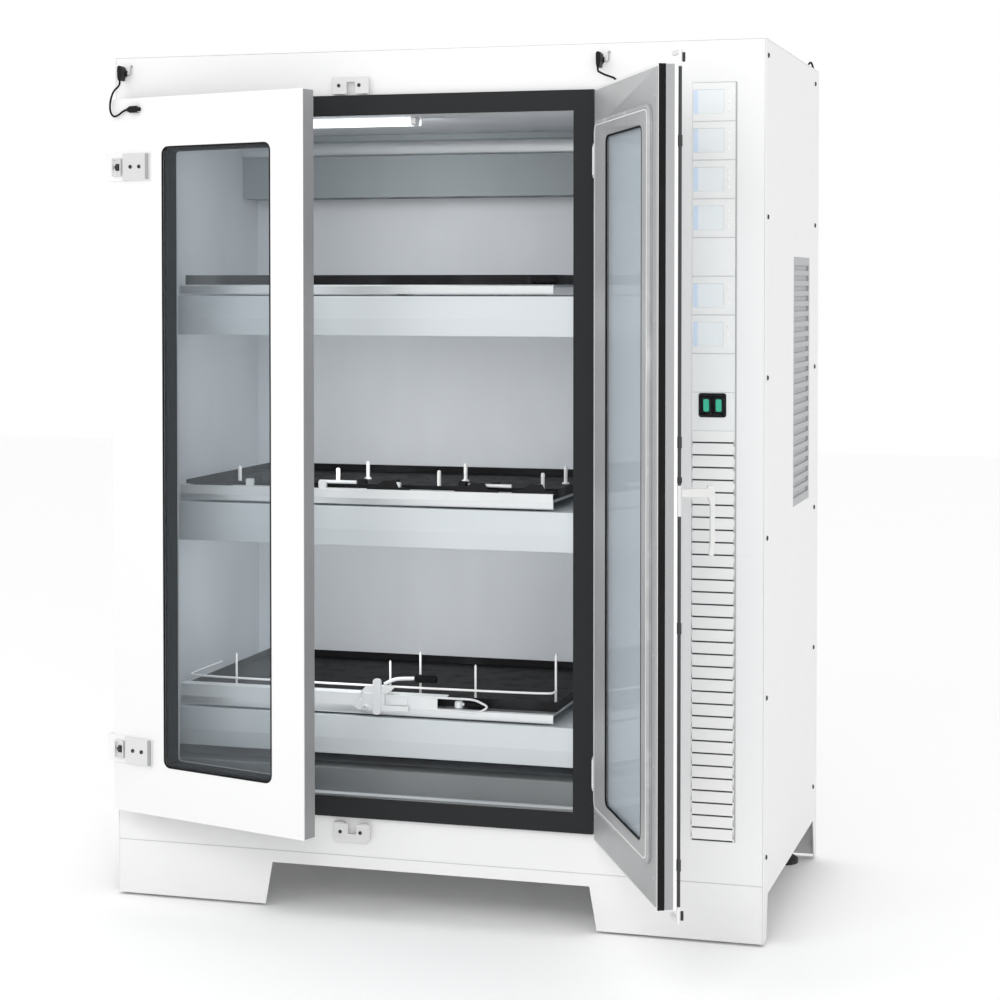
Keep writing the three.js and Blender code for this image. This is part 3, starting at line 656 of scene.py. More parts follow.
def satin_sheet(name, tone, metal=0.3, gloss=0.40):
    """Bead-blasted stainless sheet: an even satin grey with soft cloudy wiping marks."""
    f = Finish(name)
    blast = f.noise(900.0, 2.0)
    wipe = f.noise(3.2, 4.0, (1.0, 1.0, 0.35), 2.0)
    dark = tuple(v * 0.9 for v in tone)
    return f.surface({
        "Base Color": f.blend(f.spread(wipe, 0.35, 0.7), dark, tone),
        "Metallic": metal,
        "Roughness": gloss + blast * 0.08 + wipe * 0.08,
    }, blast, 0.00003)


dress("chamber_liner", satin_sheet("chamber_satin", (0.78, 0.81, 0.84), 0.12))


def foam(name):
    f = Finish(name)
    cells = f.node("TexVoronoi", {}, {"Vector": f.place, "Scale": 420.0})
    tint = f.noise(12.0, 4.0)
    return f.surface(
        {"Base Color": f.blend(tint, (0.70, 0.62, 0.40), (0.80, 0.74, 0.54)), "Roughness": 0.9 - cells * 0.1},
        cells,
        0.0004,
    )


dress("insulation_shell", foam("foam_insulation"))
duct_steel = satin_sheet("duct_satin", (0.34, 0.375, 0.395), 0.3)
dress("duct_cover", duct_steel, 0.6)
DUCT_FRONT, DUCT_HIGH = 608.0, 1802.7
fold = [(-0.2, -16), (-9, -18), (-11, -22), (-11, -48), (-9, -52), (-0.2, -54)]
fold = [(DUCT_FRONT + y, DUCT_HIGH + z) for y, z in fold]
lip = prism(bmesh.new(), fold, OPEN[0] + 1, OPEN[1] - 1, along="x")
pale_sheet = brushed_steel("pale_sheet", (0.86, 0.88, 0.89), 0.34, (7.0, 700.0, 700.0))
build("duct_lip", lip, pale_sheet, "cabinet", 0.6)
fan_steel = brushed_steel("fan_steel", (0.66, 0.67, 0.68), 0.3)
dress("fan_impeller", fan_steel)
dress("heater", brushed_steel("heater_sheath", (0.42, 0.38, 0.34), 0.42, (40.0, 400.0, 400.0)))
cast_black = moulded_plastic("cast_black", (0.010, 0.010, 0.011), 0.55, 0.0003)
dress("fan_motor", cast_black)

LAMP = (112.0, 702.0, 90.0, 140.0)
glow = Finish("lamp_diffuser")
ribs = glow.node("TexWave", {"bands_direction": "Y"},
                 {"Vector": glow.place, "Scale": 60.0, "Distortion": 0.4})
along_lamp = glow.noise(3.0, 1.0)
glow.surface({
    "Base Color": glow.blend(ribs, (0.88, 0.90, 0.92), (0.96, 0.97, 0.98)),
    "Roughness": 0.35 + ribs * 0.15,
    "Emission Color": glow.blend(along_lamp, (0.80, 0.88, 0.95), (0.95, 0.98, 1.0)),
    "Emission Strength": 2.2,
}, ribs, 0.0004)
tray_of_lamp = bmesh.new()
lamp_section = [(LAMP[2], 1802.6), (LAMP[2] + 3, 1790), (LAMP[2] + 10, 1786.8), (LAMP[3] - 10, 1786.8)]
lamp_section += [(LAMP[3] - 3, 1790), (LAMP[3], 1802.6)]
prism(tray_of_lamp, lamp_section, LAMP[0] + 12, LAMP[1] - 12, along="x")
lamp_piece = build("lamp_lens", tray_of_lamp, glow.material, "cabinet", 1.0)
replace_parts(lamp_piece, "ceiling_lamp")
ends = bmesh.new()
for x0, x1 in ((LAMP[0], LAMP[0] + 12), (LAMP[1] - 12, LAMP[1])):
    prism(ends, [(y + (0.6 if y > 115 else -0.6), z - (0.6 if z < 1800 else 0)) for y, z in lamp_section],
          x0, x1, along="x")
for x in (LAMP[0] + 6, LAMP[1] - 6):
    screw(ends, (x, 115, 1786.3), (0, 0, -1), 3.0)
white_plastic = moulded_plastic("white_moulding", (0.80, 0.80, 0.79), 0.4)
build("lamp_ends", ends, white_plastic, "cabinet", 1.2)

# Sill cover: a grey folded strip over the front of the raised sill under the bottom shaker.
sill_fold = [(42.2, 267.0), (42.2, 318.6), (44.0, 320.6), (104.0, 320.6), (104.0, 319.2), (45.0, 318.4)]
sill_fold += [(43.6, 317.0), (43.6, 267.0)]
build("sill_cover", prism(bmesh.new(), sill_fold, OPEN[0] + 1, OPEN[1] - 1, along="x"),
      satin_sheet("sill_grey", (0.20, 0.215, 0.22), 0.3), "cabinet")

# Shakers: each tier has a folded sheet housing across the chamber, a drive motor under it, an
# eccentric crank, a carrier plate with a folded front lip, and a black tray on the carrier.
TIER_TOPS = [1398.0, 917.5, 437.0]
CARRIER = (128.0, 1032.0, 74.0, 634.0)
LOCK_X, LOCK_SETBACK = (972.0, 972.0, 806.0), 14.0


def housing_coat(name):
    """Pale metallic stoving enamel on folded sheet."""
    f = Finish(name)
    flake = f.noise(1500.0, 1.0)
    drift = f.noise(1.8, 2.0, (0.6, 1.0, 2.0))
    return f.surface({
        "Base Color": f.blend(f.spread(drift, 0.3, 0.7), (0.60, 0.64, 0.66), (0.66, 0.70, 0.72)),
        "Metallic": 0.15,
        "Roughness": 0.32 + flake * 0.12 + drift * 0.06,
    }, flake, 0.00003)


def tray_coat(name):
    """Black textured tray coat, rubbed paler by feet and flasks that slide on it."""
    f = Finish(name)
    grain = f.noise(520.0, 3.0)
    rub = f.spread(f.noise(7.0, 6.0, (1.0, 1.0, 1.0), 6.0), 0.52, 0.72)
    return f.surface({
        "Base Color": f.blend(rub * 0.5 + grain * 0.12, (0.008, 0.008, 0.009), (0.034, 0.036, 0.038)),
        "Roughness": 0.5 - rub * 0.12 + grain * 0.1,
        "Specular IOR Level": 0.2,
    }, grain, 0.0001)


housing_paint = housing_coat("housing_enamel")
lock_metal = satin_sheet("lock_satin", (0.78, 0.80, 0.81), 0.25, 0.3)
tray_black = tray_coat("tray_black")
for tier, top in enumerate(TIER_TOPS, 1):
    dress(f"drive_housing_{tier}", housing_paint, 0.8)
    dress(f"drive_motor_{tier}", cast_black, 1.0)
    dress(f"crank_{tier}", fan_steel, 0.4)
    dress(f"tray_carrier_{tier}", zinc, 0.5)
    dress(f"tray_{tier}", tray_black, 0.8)
    x0, x1, y0, y1 = CARRIER
    lip = bmesh.new()
    fold = [(y0 - 0.2, top + 25.8), (y0 - 3.2, top + 23), (y0 - 3.6, top + 8), (y0 - 2.2, top + 4.5)]
    fold += [(y0 + 5, top + 4.5), (y0 + 5, top + 6.5), (y0 - 1.0, top + 7), (y0 - 0.2, top + 9)]
    prism(lip, fold, x0 + 0.5, x1 - 0.5, along="x")
    build(f"carrier_lip_{tier}", lip, pale_sheet, f"platform_{tier}", 0.4)
    floor_z = top + 29.3
    mat = bmesh.new()
    pad_x0, pad_x1, pad_y0, pad_y1 = x0 + 6, x1 - 6, y0 + 36, y1 - 6
    prism(mat, rounded(pad_x0, pad_x1, pad_y0, pad_y1, 10), floor_z + 0.1, floor_z + 1.8, along="z")
    for row in range(7):
        for col in range(12):
            spot = cabinet @ Matrix.Translation(
                (pad_x0 + 40 + col * (pad_x1 - pad_x0 - 80) / 11,
                 pad_y0 + 36 + row * (pad_y1 - pad_y0 - 72) / 6, floor_z + 1.7)
            )
            turning(mat, [(7.0, 0), (6.4, 0.5), (3.4, 0.5), (3.0, 0.1), (0, 0.1)], spot, 12)
    build(f"tray_mat_{tier}", mat, soft_rubber, f"platform_{tier}", 0.3)

    # Tray lock: a lever with a black rubber grip that presses the tray down when it is turned. On
    # the middle and bottom tiers a pale clamp frame with a bolted post runs along the front.
    lock_x = LOCK_X[tier - 1]
    deck = cabinet @ Matrix.Translation((0.0, y0, top + 26.3))
    if tier == 2:
        frame_bar = bmesh.new()
        ledge = [(-4.6, -8), (-4.6, 13), (22, 13), (22, 11.6), (-3.6, 11.6), (-3.6, -8)]
        prism(frame_bar, ledge, x0 + 1, x1 - 1, deck, "x")
        for x in (300, 480, 660, 840):
            prism(frame_bar, rounded(x - 9, x + 9, 12.8, 30, 3), 2, 12, deck)
        build("lock_channel_2", frame_bar, lock_metal, "platform_2", 0.5)
        shoes = bmesh.new()
        sole = [(-52, 13.2), (52, 13.2), (48, 17), (26, 19), (18, 34), (-10, 34), (-30, 20), (-48, 17)]
        for x in (205, 420, 640, 850, 985):
            prism(shoes, [(min(x + a, x1 - 2), b) for a, b in sole], 1, 9, deck)
        build("clamp_shoes", shoes, cast_black, "platform_2", 0.8)
        rails = bmesh.new()
        for middle, half in ((880, 50), (515, 45)):
            tube(rails, [deck @ Vector((middle + half * k, 14, 27)) for k in (-1, 0, 1)], 4.0, 10)
        build("clamp_rails", rails, lock_metal, "platform_2", 0.0, 50)
    if tier == 3:
        frame_bar = prism(bmesh.new(), [(x0 + 2, -2), (760, -4), (760, 23), (x0 + 2, 24)], -3.8, -1.4, deck)
        prism(frame_bar, [(-4.4, 23), (20, 26), (20, 28), (-4.4, 25.6)], x0 + 2, 780, deck, "x")
        hoop = [(740, 24), (800, 24), (846, 23), (866, 16), (877, 9), (866, 0), (846, -5), (800, -4)]
        hoop += [(740, -3)]
        tube(frame_bar, smooth_path([deck @ Vector((x, -2.6, z)) for x, z in hoop], 40), 2.6, 10)
        build("lock_channel_3", frame_bar, lock_metal, "platform_3", 0.4)
        jaw = [(562, -4), (572, -11), (640, -13), (693, -9), (693, 2), (640, 1), (600, 14), (575, 12)]
        clamp = prism(bmesh.new(), jaw, -12, -5, deck)
        prism(clamp, rounded(582, 636, -8, 28, 6), -13, -4.6, deck)
        prism(clamp, rounded(609, 628, -20, 62, 7), -16, -8, deck)
        prism(clamp, [(575, 27), (640, 27), (660, 44), (590, 44)], -8, 3, deck)
        prism(clamp, rounded(646, 690, 3, 20, 3), -7, -4.4, deck)
        turning(clamp, [(4.2, 0), (7, 0), (7, 4), (5.5, 6), (4.2, 6), (4.2, 0)],
                facing((590, -13, -4), (0, -1, 0), deck), 20)
        build("lock_clamp_3", clamp, lock_metal, "platform_3", 1.4)
        ribbed = [6.5, 9.0, 9.5, *[9.5, 9.3] * 4, 9.5, 9.5, 9.3, 8.5, 6.5]
        grip_run = [deck @ Vector((697 + 3.5 * k, 26, 60)) for k in range(16)]
        build("spare_grip", tube(bmesh.new(), grip_run, ribbed, 16), soft_rubber, "platform_3",
              0.0, 50)
        arm_run = smooth_path([deck @ Vector(p) for p in ((628, 10, 46), (650, 22, 56), (699, 26, 60))], 12)
        build("spare_arm", tube(bmesh.new(), arm_run, 4.4, 12), lock_metal, "platform_3",
              0.0, 50)
    pivot = deck @ Matrix.Translation((lock_x, LOCK_SETBACK, 0.0))
    lever = turning(bmesh.new(), [(0, 0.4), (10, 0.4), (10, 12), (8, 15.5), (3, 16.2), (0, 15.4)], pivot, 24)
    prism(lever, [(2, -5.5), (10, -4.5), (66, -3.4), (66, 3.4), (10, 4.5), (2, 5.5)], 7, 12, pivot, "z")
    lever_piece = build(f"lock_lever_{tier}", lever, cast_black if tier == 1 else lock_metal,
                        f"tray_lever_{tier}", 0.8)
    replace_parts(lever_piece, f"tray_lock_{tier}")
    waist = [5.5, 7.6, 8.4, *[8.5, 8.2] * 4, 8.5, 8.5, 8.2, 7.2, 4.6]
    grip_run = [pivot @ Vector((14 + 3.6 * k, 0, 9.6)) for k in range(16)]
    build(f"lock_grip_{tier}", tube(bmesh.new(), grip_run, waist, 16), soft_rubber, f"tray_lever_{tier}",
          0.0, 50)

# Middle tray: black clamp feet and white pegs that racks stand between.
top = TIER_TOPS[1]
feet = bmesh.new()
for x in (802.0, 880.0, 560.0, 640.0, 300.0, 380.0):
    prism(feet, rounded(x - 20, x + 20, 112, 150, 8), top + 31.2, top + 38, along="z")
    prism(feet, [(118, top + 37), (144, top + 37), (138, top + 58), (124, top + 58)], x - 9, x + 9, along="x")
build("rack_feet", feet, cast_black, "platform_2", 1.5)
pegs = bmesh.new()
for x in (220.0, 470.0, 720.0, 970.0):
    for y in (210.0, 420.0):
        turning(pegs, [(0, 0), (9, 0), (9, 3), (4.5, 5), (4.5, 40), (3.2, 43), (0, 43.5)],
                cabinet @ Matrix.Translation((x, y, top + 31.2)), 18)
build("rack_pegs", pegs, white_plastic, "platform_2")

# Bottom tray: a low white wire fence along the front with upright posts, to keep flasks in.
top = TIER_TOPS[2]
fence = bmesh.new()
rail_y, rail_z = 110.0, top + 66.0
rail = [(134, 300), (134, rail_y + 8), (142, rail_y), (1010, rail_y), (1018, rail_y + 8), (1018, 150)]
tube(fence, smooth_path([cabinet @ Vector((x, y, rail_z)) for x, y in rail], 60), 2.6, 10)
for x, tall in ((250, 122), (440, 122), (632, 122), (705, 145), (837, 122), (1018, 150)):
    depth = rail_y + 5.4 if x < 1000 else 146.0
    post = [cabinet @ Vector((x, depth, top + 31.2 + (tall - 31.2) * t)) for t in (0, 0.3, 0.6, 0.95, 1.0)]
    tube(fence, post, [3.4, 2.6, 2.6, 2.6, 1.4], 10)
build("flask_fence", fence, white_plastic, "platform_3", 0.0, 50)

# Service column: a strip of square control modules, six of them with a display and three keys, and
# a long louvred panel of folded slats under them, with dark strips behind the slats that paint the
# shade in their openings.
STRIP_LEFT, STRIP_RIGHT, STRIP_TOP, STRIP_BOTTOM, PITCH = 1359.0, 1453.0, 1857.0, 223.0, 83.0
dress("louvre_panel", white_coat)
MODULES, DISPLAY_ROWS = 9, (0, 1, 2, 3, 5, 6)
LOUVRE_TOP = STRIP_TOP - MODULES * PITCH
LOUVRE_COUNT = 33
gill_pitch = (LOUVRE_TOP - STRIP_BOTTOM) / LOUVRE_COUNT
shadow, slats = bmesh.new(), bmesh.new()
for k in range(LOUVRE_COUNT):
    z = LOUVRE_TOP - (k + 1) * gill_pitch
    block(shadow, STRIP_LEFT + 2, STRIP_RIGHT - 3, -1.3, -1.05, z - 0.2, z + 3.4)
    slat = [(-1.05, z + 3.0), (-2.3, z + 3.4), (-2.5, z + 4.4)]
    slat += [(-1.7, z + gill_pitch - 0.8), (-1.05, z + gill_pitch - 0.2)]
    prism(slats, slat, STRIP_LEFT + 2, STRIP_RIGHT - 3, along="x")
strip_paint = powder_coat("louvre_white", (0.82, 0.82, 0.81))
build("louvre_slats", slats, strip_paint, "cabinet")
# Dark strips in the notch behind each slat: painted shade standing in for the shadow inside the louvre
# openings.
painted_slot_shade = moulded_plastic("louvre_slot_shade", (0.045, 0.047, 0.05), 0.6)
build("louvre_slot_shadows", shadow, painted_slot_shade, "cabinet")
seams = bmesh.new()
for row in range(MODULES + 1):
    z = STRIP_TOP - row * PITCH
    block(seams, STRIP_LEFT + 1, STRIP_RIGHT - 1, -1.35, -1.05, z - 0.9, z + 0.5)
build("strip_seams", seams, bead_finish.material, "cabinet")
dress("control_panel", powder_coat("strip_white", (0.80, 0.81, 0.805), 0.3), 0.4)
build(
    "strip_edge",
    block(bmesh.new(), STRIP_RIGHT + 0.4, STRIP_RIGHT + 3.0, -1.6, -0.2, STRIP_BOTTOM, STRIP_TOP),
    grille_grey, "cabinet", 0.3,
)
display = Finish("display_glass")
spot_x = display.node("SeparateXYZ", {}, {0: display.place}, out="X")
band_edge = left_edge + (STRIP_LEFT + 8) / 1000
left_band = 1.0 - display.spread(spot_x, band_edge, band_edge + 0.008)
cells = display.node("TexBrick", {"offset": 0.0}, {
    "Vector": display.node("Mapping", {}, {"Vector": display.place, "Rotation": (math.pi / 2, 0, 0)}),
    "Scale": 60.0, "Mortar Size": 0.02, "Mortar": (0.66, 0.70, 0.73),
    "Color1": (0.72, 0.76, 0.78), "Color2": (0.77, 0.79, 0.80)})
pane = display.blend(left_band, (0.70, 0.74, 0.75), (0.46, 0.60, 0.80))
display.surface({
    "Base Color": display.blend(0.35, pane, cells),
    "Roughness": 0.12 + display.noise(60.0, 3.0) * 0.1,
    "Emission Color": pane,
    "Emission Strength": 0.10,
    "Coat Weight": 0.6,
    "Coat Roughness": 0.08,
}, display.noise(240.0, 2.0), 0.00003)
for number, row in enumerate(DISPLAY_ROWS, 1):
    high = STRIP_TOP - row * PITCH - 15.5
    low = high - 51.0
    build(
        f"display_{number}",
        prism(bmesh.new(), rounded(STRIP_LEFT + 2.6, STRIP_LEFT + 68.4, low, high, 3), 0.1, 0.45),
        display.material, "cabinet",
    )
    keys = bmesh.new()
    for k in range(3):
        spot = facing((STRIP_LEFT + 79, 0, low + 8 + 17 * k), (0, -1, 0))
        turning(keys, [(0, 1.9), (2.6, 1.8), (3.6, 1.3), (3.8, 1.0), (0, 1.0)], spot, 16)
    build(f"keys_{number}", keys, white_plastic, "cabinet")

# Switch plate: two black rockers with green lenses in one moulded bezel, with a bar between them.
SWITCH = (1377.0, 1431.0, 1142.0, 1188.0)
bezel = [(-3.0, -1.1), (-3.0, -2.2), (-2.2, -3.2), (3.2, -3.2), (3.2, 6), (-0.4, 6), (-0.4, -1.1)]
build("switch_bezel", ring(bmesh.new(), rounded(*SWITCH, 2.5, 4)[::-1], bezel), black_plastic, "cabinet",
      0.0, 50)
build("switch_divider", block(bmesh.new(), 1403.2, 1404.8, -1.5, 10.0, SWITCH[2] + 0.6, SWITCH[3] - 0.6),
      black_plastic, "cabinet", 0.3)
lens_green = Finish("green_lens")
flutes = lens_green.node("TexWave", {"bands_direction": "Z"}, {"Vector": lens_green.place, "Scale": 180.0})
lens_green.surface({
    "Base Color": lens_green.blend(flutes, (0.008, 0.22, 0.13), (0.02, 0.34, 0.21)),
    "Roughness": 0.18 + flutes * 0.1,
    "Emission Color": lens_green.blend(lens_green.noise(40.0, 2.0), (0.01, 0.30, 0.18), (0.03, 0.45, 0.28)),
    "Emission Strength": 0.5,
    "Coat Weight": 0.5,
}, flutes, 0.0003)
for number, (side, x) in enumerate((("left", 1390.5), ("right", 1417.5)), 1):
    tilt = cabinet @ Matrix.Translation((x, 2, 1165)) @ Matrix.Rotation(math.radians(6), 4, "X")
    cap = bmesh.new()
    saddle = [(3.8, -18.6), (-3.4, -18.6), (-4.0, -16), (-3.2, -8), (-2.9, 0), (-3.2, 8), (-4.0, 16)]
    saddle += [(-3.4, 18.6), (3.8, 18.6)]
    prism(cap, saddle, -11.6, 11.6, tilt, along="x")
    cap_piece = build(f"rocker_cap_{number}", cap, black_plastic, f"rocker_{side}", 0.6)
    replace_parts(cap_piece, f"rocker_{number}")
    build(f"rocker_lens_{number}", prism(bmesh.new(), rounded(-6.2, 6.2, -13.5, 13.5, 3.0), -4.1, -2.6, tilt),
          lens_green.material, f"rocker_{side}", 0.4)

# Machine bay: a controller box, a power unit and a sealed cooling unit stand behind the louvres.
for name in ("controller_box", "power_unit"):
    dress(name, zinc, 1.0)
dress("cooling_unit", cast_black, 2.0)

# Doors: a foamed steel shell, powder coated outside, with a brushed stainless inner pan whose
# bezel stands proud round the window, and an aluminium strip on the meeting edge.
door_steel = satin_sheet("door_pan_satin", (0.46, 0.465, 0.47), 0.35, 0.36)
edge_strip_metal = satin_sheet("edge_strip", (0.38, 0.385, 0.39), 0.4)
hinge_metal = brushed_steel("hinge_metal", (0.84, 0.84, 0.84), 0.3, (60.0, 600.0, 600.0))
WINDOW = (DOOR_EDGE + 150, DOOR_WIDTH - 89, DOOR_LOW + 113, DOOR_HIGH - 112)
PAN_EDGE = (DOOR_EDGE + 46, DOOR_WIDTH - 48, DOOR_LOW + 86, DOOR_HIGH - 83)
PAN_BACK, BEZEL = BACK + 2.3, 9.0
HINGE_LEVELS = (("bottom", 357.0), ("top", 1692.0))


def window_glass(name):
    """Tinted heated glass: clear to look through, glossy, with a few faint smears."""
    f = Finish(name)
    smear = f.spread(f.noise(6.0, 5.0, (1.0, 1.0, 0.5)), 0.5, 0.8)
    tint = f.blend(smear, (0.968, 0.975, 0.98), (0.952, 0.962, 0.97))
    clear = f.node("BsdfTransparent", {}, {"Color": tint})
    gloss = f.node("BsdfPrincipled", {}, {
        "Base Color": (0.55, 0.60, 0.64), "Metallic": 0.0, "Roughness": 0.03 + smear * 0.1,
        "Specular IOR Level": 1.0})
    facing = f.node("LayerWeight", {}, {"Blend": 0.18}, out="Fresnel")
    both = f.node("MixShader", {}, {0: facing * 0.9 + smear * 0.03 + 0.02, 1: clear, 2: gloss})
    f.node("OutputMaterial", {}, {"Surface": both})
    return f.material


tinted_glass = window_glass("tinted_glass")
pale_rubber = rubber("grey_silicone", (0.36, 0.365, 0.37), 0.5)
spacer_metal = satin_sheet("spacer_metal", (0.60, 0.62, 0.64), 0.3)
for side in ("left", "right"):
    on_door, body = door_place[side], f"{side}_door"
    dress(f"{side}_door_shell", white_coat, 0.9)
    dress(f"{side}_door_liner", door_steel, 0.9)

    # Window unit: two panes held apart by a black rubber spacer with a thin metal bead on it, each
    # pane sealed at its edge with a rubber lip.
    outline = rounded(WINDOW[0] + 0.4, WINDOW[1] - 0.4, WINDOW[2] + 0.4, WINDOW[3] - 0.4, 17.6)
    round_window = rounded(*WINDOW, 18.0)[::-1]
    crest = PAN_BACK + BEZEL
    outer_pane = build(f"{side}_outer_pane", prism(bmesh.new(), outline, FACE + 3.0, FACE + 7.0, on_door),
                       tinted_glass, body)
    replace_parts(outer_pane, f"{side}_door_glass")
    build(f"{side}_inner_pane", prism(bmesh.new(), outline, crest - 7.0, crest - 3.0, on_door),
          tinted_glass, body)
    channel = [(0.4, FACE + 7.2), (10, FACE + 7.2), (10, crest - 7.2), (0.4, crest - 7.2)]
    build(f"{side}_window_spacer", ring(bmesh.new(), round_window, channel, on_door), soft_rubber, body)
    thin_bead = bmesh.new()
    runs = [(crest - 10.8, crest - 7.4)] + ([(FACE + 7.4, FACE + 18.0)] if side == "right" else [])
    for near, far in runs:
        ring(thin_bead, round_window, [(10.1, near), (10.9, near), (10.9, far), (10.1, far)], on_door)
    build(f"{side}_window_bead", thin_bead, spacer_metal, body)
    outer_lip = [(0.4, FACE - 0.6), (1.4, FACE - 0.9), (2.4, FACE - 0.4), (3.0, FACE + 0.6)]
    outer_lip += [(3.0, FACE + 2.9), (0.4, FACE + 2.9)]
    inner_lip = [(0.4, crest + 0.4), (1.4, crest + 0.8), (2.6, crest + 0.3), (3.4, crest - 0.8)]
    inner_lip += [(3.4, crest - 2.9), (0.4, crest - 2.9)]
    for which, lip in (("outer", outer_lip), ("inner", inner_lip)):
        build(f"{side}_window_seal_{which}", ring(bmesh.new(), round_window, lip, on_door), soft_rubber, body,
              0.0, 50)

    # Bezel gasket: a soft grey extrusion in the step round the raised bezel, which meets the
    # chamber's seal frame when the door is shut, and a thin white ring on the bezel's rolled edge that
    # paints the highlight along it.
    seat = PAN_BACK + 0.3
    bellows = [(0.4, seat), (8.6, seat), (9.0, seat + 1.2), (7.4, seat + 2.6), (9.0, seat + 4.0)]
    bellows += [(8.6, crest - 1.4), (7.2, crest), (2.2, crest), (1.0, crest - 1.2), (0.4, crest - 1.4)]
    around = rounded(*PAN_EDGE, 18.0)[::-1]
    seal = build(f"{side}_door_seal", ring(bmesh.new(), around, [(-n, d) for n, d in bellows], on_door),
                 pale_rubber, body, 0.0, 40)
    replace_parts(seal, f"{side}_door_gasket")
    # A white ring on the bezel's rolled edge: painted highlight along the edge of the grey pan.
    highlight_ring = [(0.1, crest - 1.0), (0.1, crest + 0.5), (2.6, crest + 0.5), (2.6, crest + 0.1)]
    build(f"{side}_bezel_painted_highlight", ring(bmesh.new(), around, highlight_ring, on_door), white_coat, body)

    # Meeting edge: an aluminium strip down the middle, and on the right door a hollow rubber seal
    # along its inner corner.
    inner = BACK - (15.0 if side == "right" else 1.0)
    outer = FACE + (6.5 if side == "right" else 1.5)
    strip = block(bmesh.new(), DOOR_WIDTH + 0.05, DOOR_WIDTH + 0.65, outer, inner, DOOR_LOW + 1.5,
                  DOOR_HIGH - 1.5, on_door)
    build(f"{side}_edge_strip", strip, edge_strip_metal, body)
    if side == "right":
        hollow = [(0.05, -14.6), (0.7, -14.2), (0.9, -11), (0.5, -9.5), (0.9, -8), (0.7, -0.6), (0.05, -0.2)]
        meeting_seal = prism(bmesh.new(), [(DOOR_WIDTH + a, BACK + b) for a, b in hollow], DOOR_LOW + 1.0,
                             DOOR_HIGH - 1.0, on_door, "z")
        build("right_meeting_seal", meeting_seal, soft_rubber, body, 0.0, 40)

    # Pan screws round the inner pan, and a cast hinge near the top and the bottom: a leaf with two
    # screws and a dark grey strip along its far edge that paints the shade of the leaf's edge, an open
    # knuckle round a black pin, and an arm that comes off the fascia.
    fixings = bmesh.new()
    for k in range(8):
        for x in (DOOR_EDGE + 22, DOOR_WIDTH - 22):
            z = DOOR_LOW + 60 + k * (DOOR_HIGH - DOOR_LOW - 120) / 7
            screw(fixings, (x, PAN_BACK - 1.6, z), (0, 1, 0), 3.6, on_door)
    build(f"{side}_pan_screws", fixings, bright_steel, body)
    for level, z in HINGE_LEVELS:
        at = on_door @ Matrix.Translation((0.0, FACE, z))
        leaf = prism(bmesh.new(), rounded(57, 137, -31, 31, 3, 4), -8, -4.2, at)
        build(f"{side}_hinge_leaf_{level}", leaf, hinge_metal, body, 1.2)
        # A dark grey strip standing proud at the leaf's far edge: painted shade for the leaf's edge.
        edge_shade = prism(bmesh.new(), rounded(126, 135, -29, 29, 2, 3), -9.6, -8.1, at)
        build(f"{side}_hinge_edge_shade_{level}", edge_shade, edge_strip_metal, body, 0.6)
        leaf_screws = bmesh.new()
        for x in (81, 107):
            screw(leaf_screws, (x, -8, 0), (0, -1, 0), 4.6, at)
        build(f"{side}_hinge_screws_{level}", leaf_screws, dark_screw, body)
        wall_of_knuckle = [(0.4, -10), (3.6, -10), (3.6, -5.6), (9, -5.2), (9, -4.2), (0.4, -4.2)]
        knuckle = ring(bmesh.new(), rounded(26, 54, -21, 21, 3)[::-1], wall_of_knuckle, at)
        build(f"{side}_hinge_knuckle_{level}", knuckle, hinge_metal, body, 0.8)
        pin = block(bmesh.new(), 36, 53, -7.6, -4.3, -8, 8, at)
        turning(pin, [(0, 5.2), (4.6, 5.2), (6.4, 4.2), (6.4, 0), (0, 0)],
                facing((39.5, -4.3, 0), (0, -1, 0), at), 16)
        build(f"{side}_hinge_pin_{level}", pin, dark_screw, body, 0.6)
        wall = cabinet @ Matrix.Translation((HINGES[side][0], 0.0, z))
        tongue = [(-6.4, -0.2), (-6.4, HINGE_Y), (-4.6, HINGE_Y - 4.6), (0, HINGE_Y - 6.5)]
        tongue += [(4.6, HINGE_Y - 4.6), (6.4, HINGE_Y), (6.4, -0.2)]
        arm = prism(bmesh.new(), tongue, 31.6, 37.0, wall, "z")
        prism(arm, tongue, -37.0, -31.6, wall, "z")
        block(arm, -6.4, 6.4, -3.2, -0.2, -37.0, 37.0, wall)
        build(f"{side}_hinge_arm_{level}", arm, hinge_metal, "cabinet", 0.8)

# Lock: a rod down the right door's meeting edge with a black stop at each end, in four saddle
# guides, and a white lever handle with a collar that turns it.
rod = door_place["right"] @ Matrix.Translation((DOOR_WIDTH - 3.5, FACE - 5.5, 0.0))
rod_finish = Finish("rod_finish")
height = rod_finish.node("SeparateXYZ", {}, {0: rod_finish.place}, out="Z")
inner = rod_finish.spread(height, (DOOR_LOW + 4) / 1000, (DOOR_LOW + 7) / 1000)
inner = inner * (1.0 - rod_finish.spread(height, (DOOR_HIGH - 7) / 1000, (DOOR_HIGH - 4) / 1000))
wear = rod_finish.noise(220.0, 3.0)
rod_finish.surface({
    "Base Color": rod_finish.blend(inner, (0.74, 0.74, 0.74), (0.045, 0.046, 0.048)),
    "Metallic": 0.1,
    "Roughness": 0.42 + wear * 0.15,
    "Specular IOR Level": 0.3,
}, wear, 0.00005)
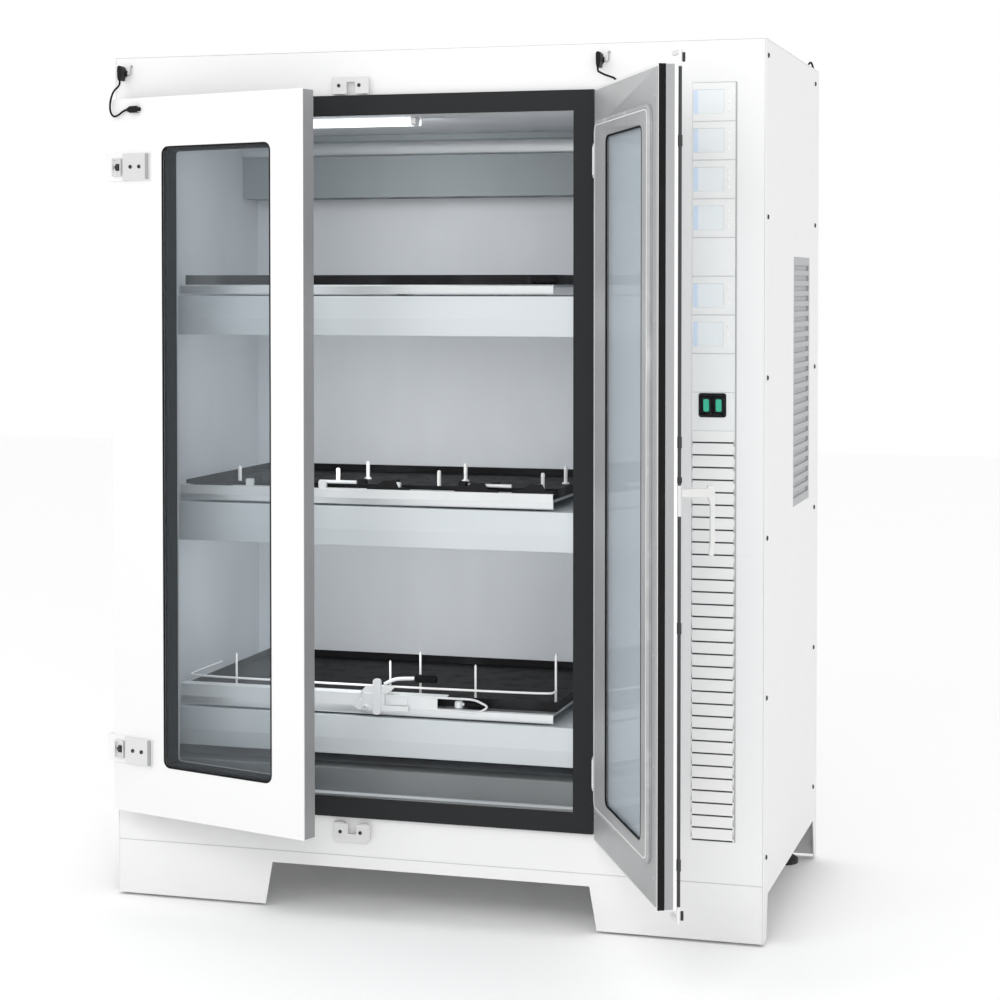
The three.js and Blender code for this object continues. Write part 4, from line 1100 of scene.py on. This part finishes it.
dress("lock_rod", rod_finish.material, 0.4)
stops = bmesh.new()
for z in (DOOR_HIGH + 3.0, DOOR_LOW - 21.0):
    turning(stops, [(0, 0), (2.6, 0), (3, 1), (3, 17), (2.6, 18), (0, 18)],
            rod @ Matrix.Translation((1.0, -6.8, z)), 14)
build("rod_stops", stops, dark_screw, "door_lock", 0.0, 50)
guides = bmesh.new()
saddle = [(-12, 5.3), (-12, 3.7), (-4.4, 3.3), (-4.4, 0), (-3.2, -3.4), (0, -4.9), (3.4, -3.4), (4.6, 0)]
saddle += [(3.8, 0), (2.8, -2.7), (0, -4), (-2.6, -2.8), (-3.7, 0), (-3.7, 5.3)]
for z in (300.0, 760.0, 1120.0, 1700.0):
    prism(guides, saddle, z - 11, z + 11, rod, "z")
build("rod_guides", guides, rod_finish.material, "right_door", 0.2)
HANDLE_Z, GRIP_OUT = 1037.0, -60.5
collar = turning(bmesh.new(), [(3.6, 0), (4.6, 0), (5.1, 1), (5.1, 11), (4.6, 12), (3.6, 12), (3.6, 0)],
                 rod @ Matrix.Translation((0.0, 0.0, HANDLE_Z + 4.0)), 20)
build("rod_collar", collar, dark_screw, "door_lock", 0.3)
handle_white = moulded_plastic("handle_white", (0.56, 0.56, 0.555), 0.4)
hub = rod @ Matrix.Translation((0.0, 0.0, HANDLE_Z))
handle = turning(bmesh.new(), [(3.8, -60), (4.8, -60), (5.2, -58), (5.2, -2), (4.8, 0), (3.8, 0), (3.8, -60)],
                 hub, 24)
neck = [(-4, -22.5), (-4, -7.5), (GRIP_OUT + 2, -6.5), (GRIP_OUT + 2, -23.5)]
prism(handle, neck, -4.6, 4.6, hub, "x")
blade = [(5, -1), (-6, -0.5), (-9.5, -6), (-9.5, -117), (-7, -136), (-2, -138.5), (2, -134), (-1, -112)]
blade += [(-1, -37), (5, -20)]
prism(handle, [(GRIP_OUT + y, z) for y, z in blade], -4.9, 4.9, hub, "x")
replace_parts(build("lever_handle", handle, handle_white, "door_lock", 1.6), "door_handle")
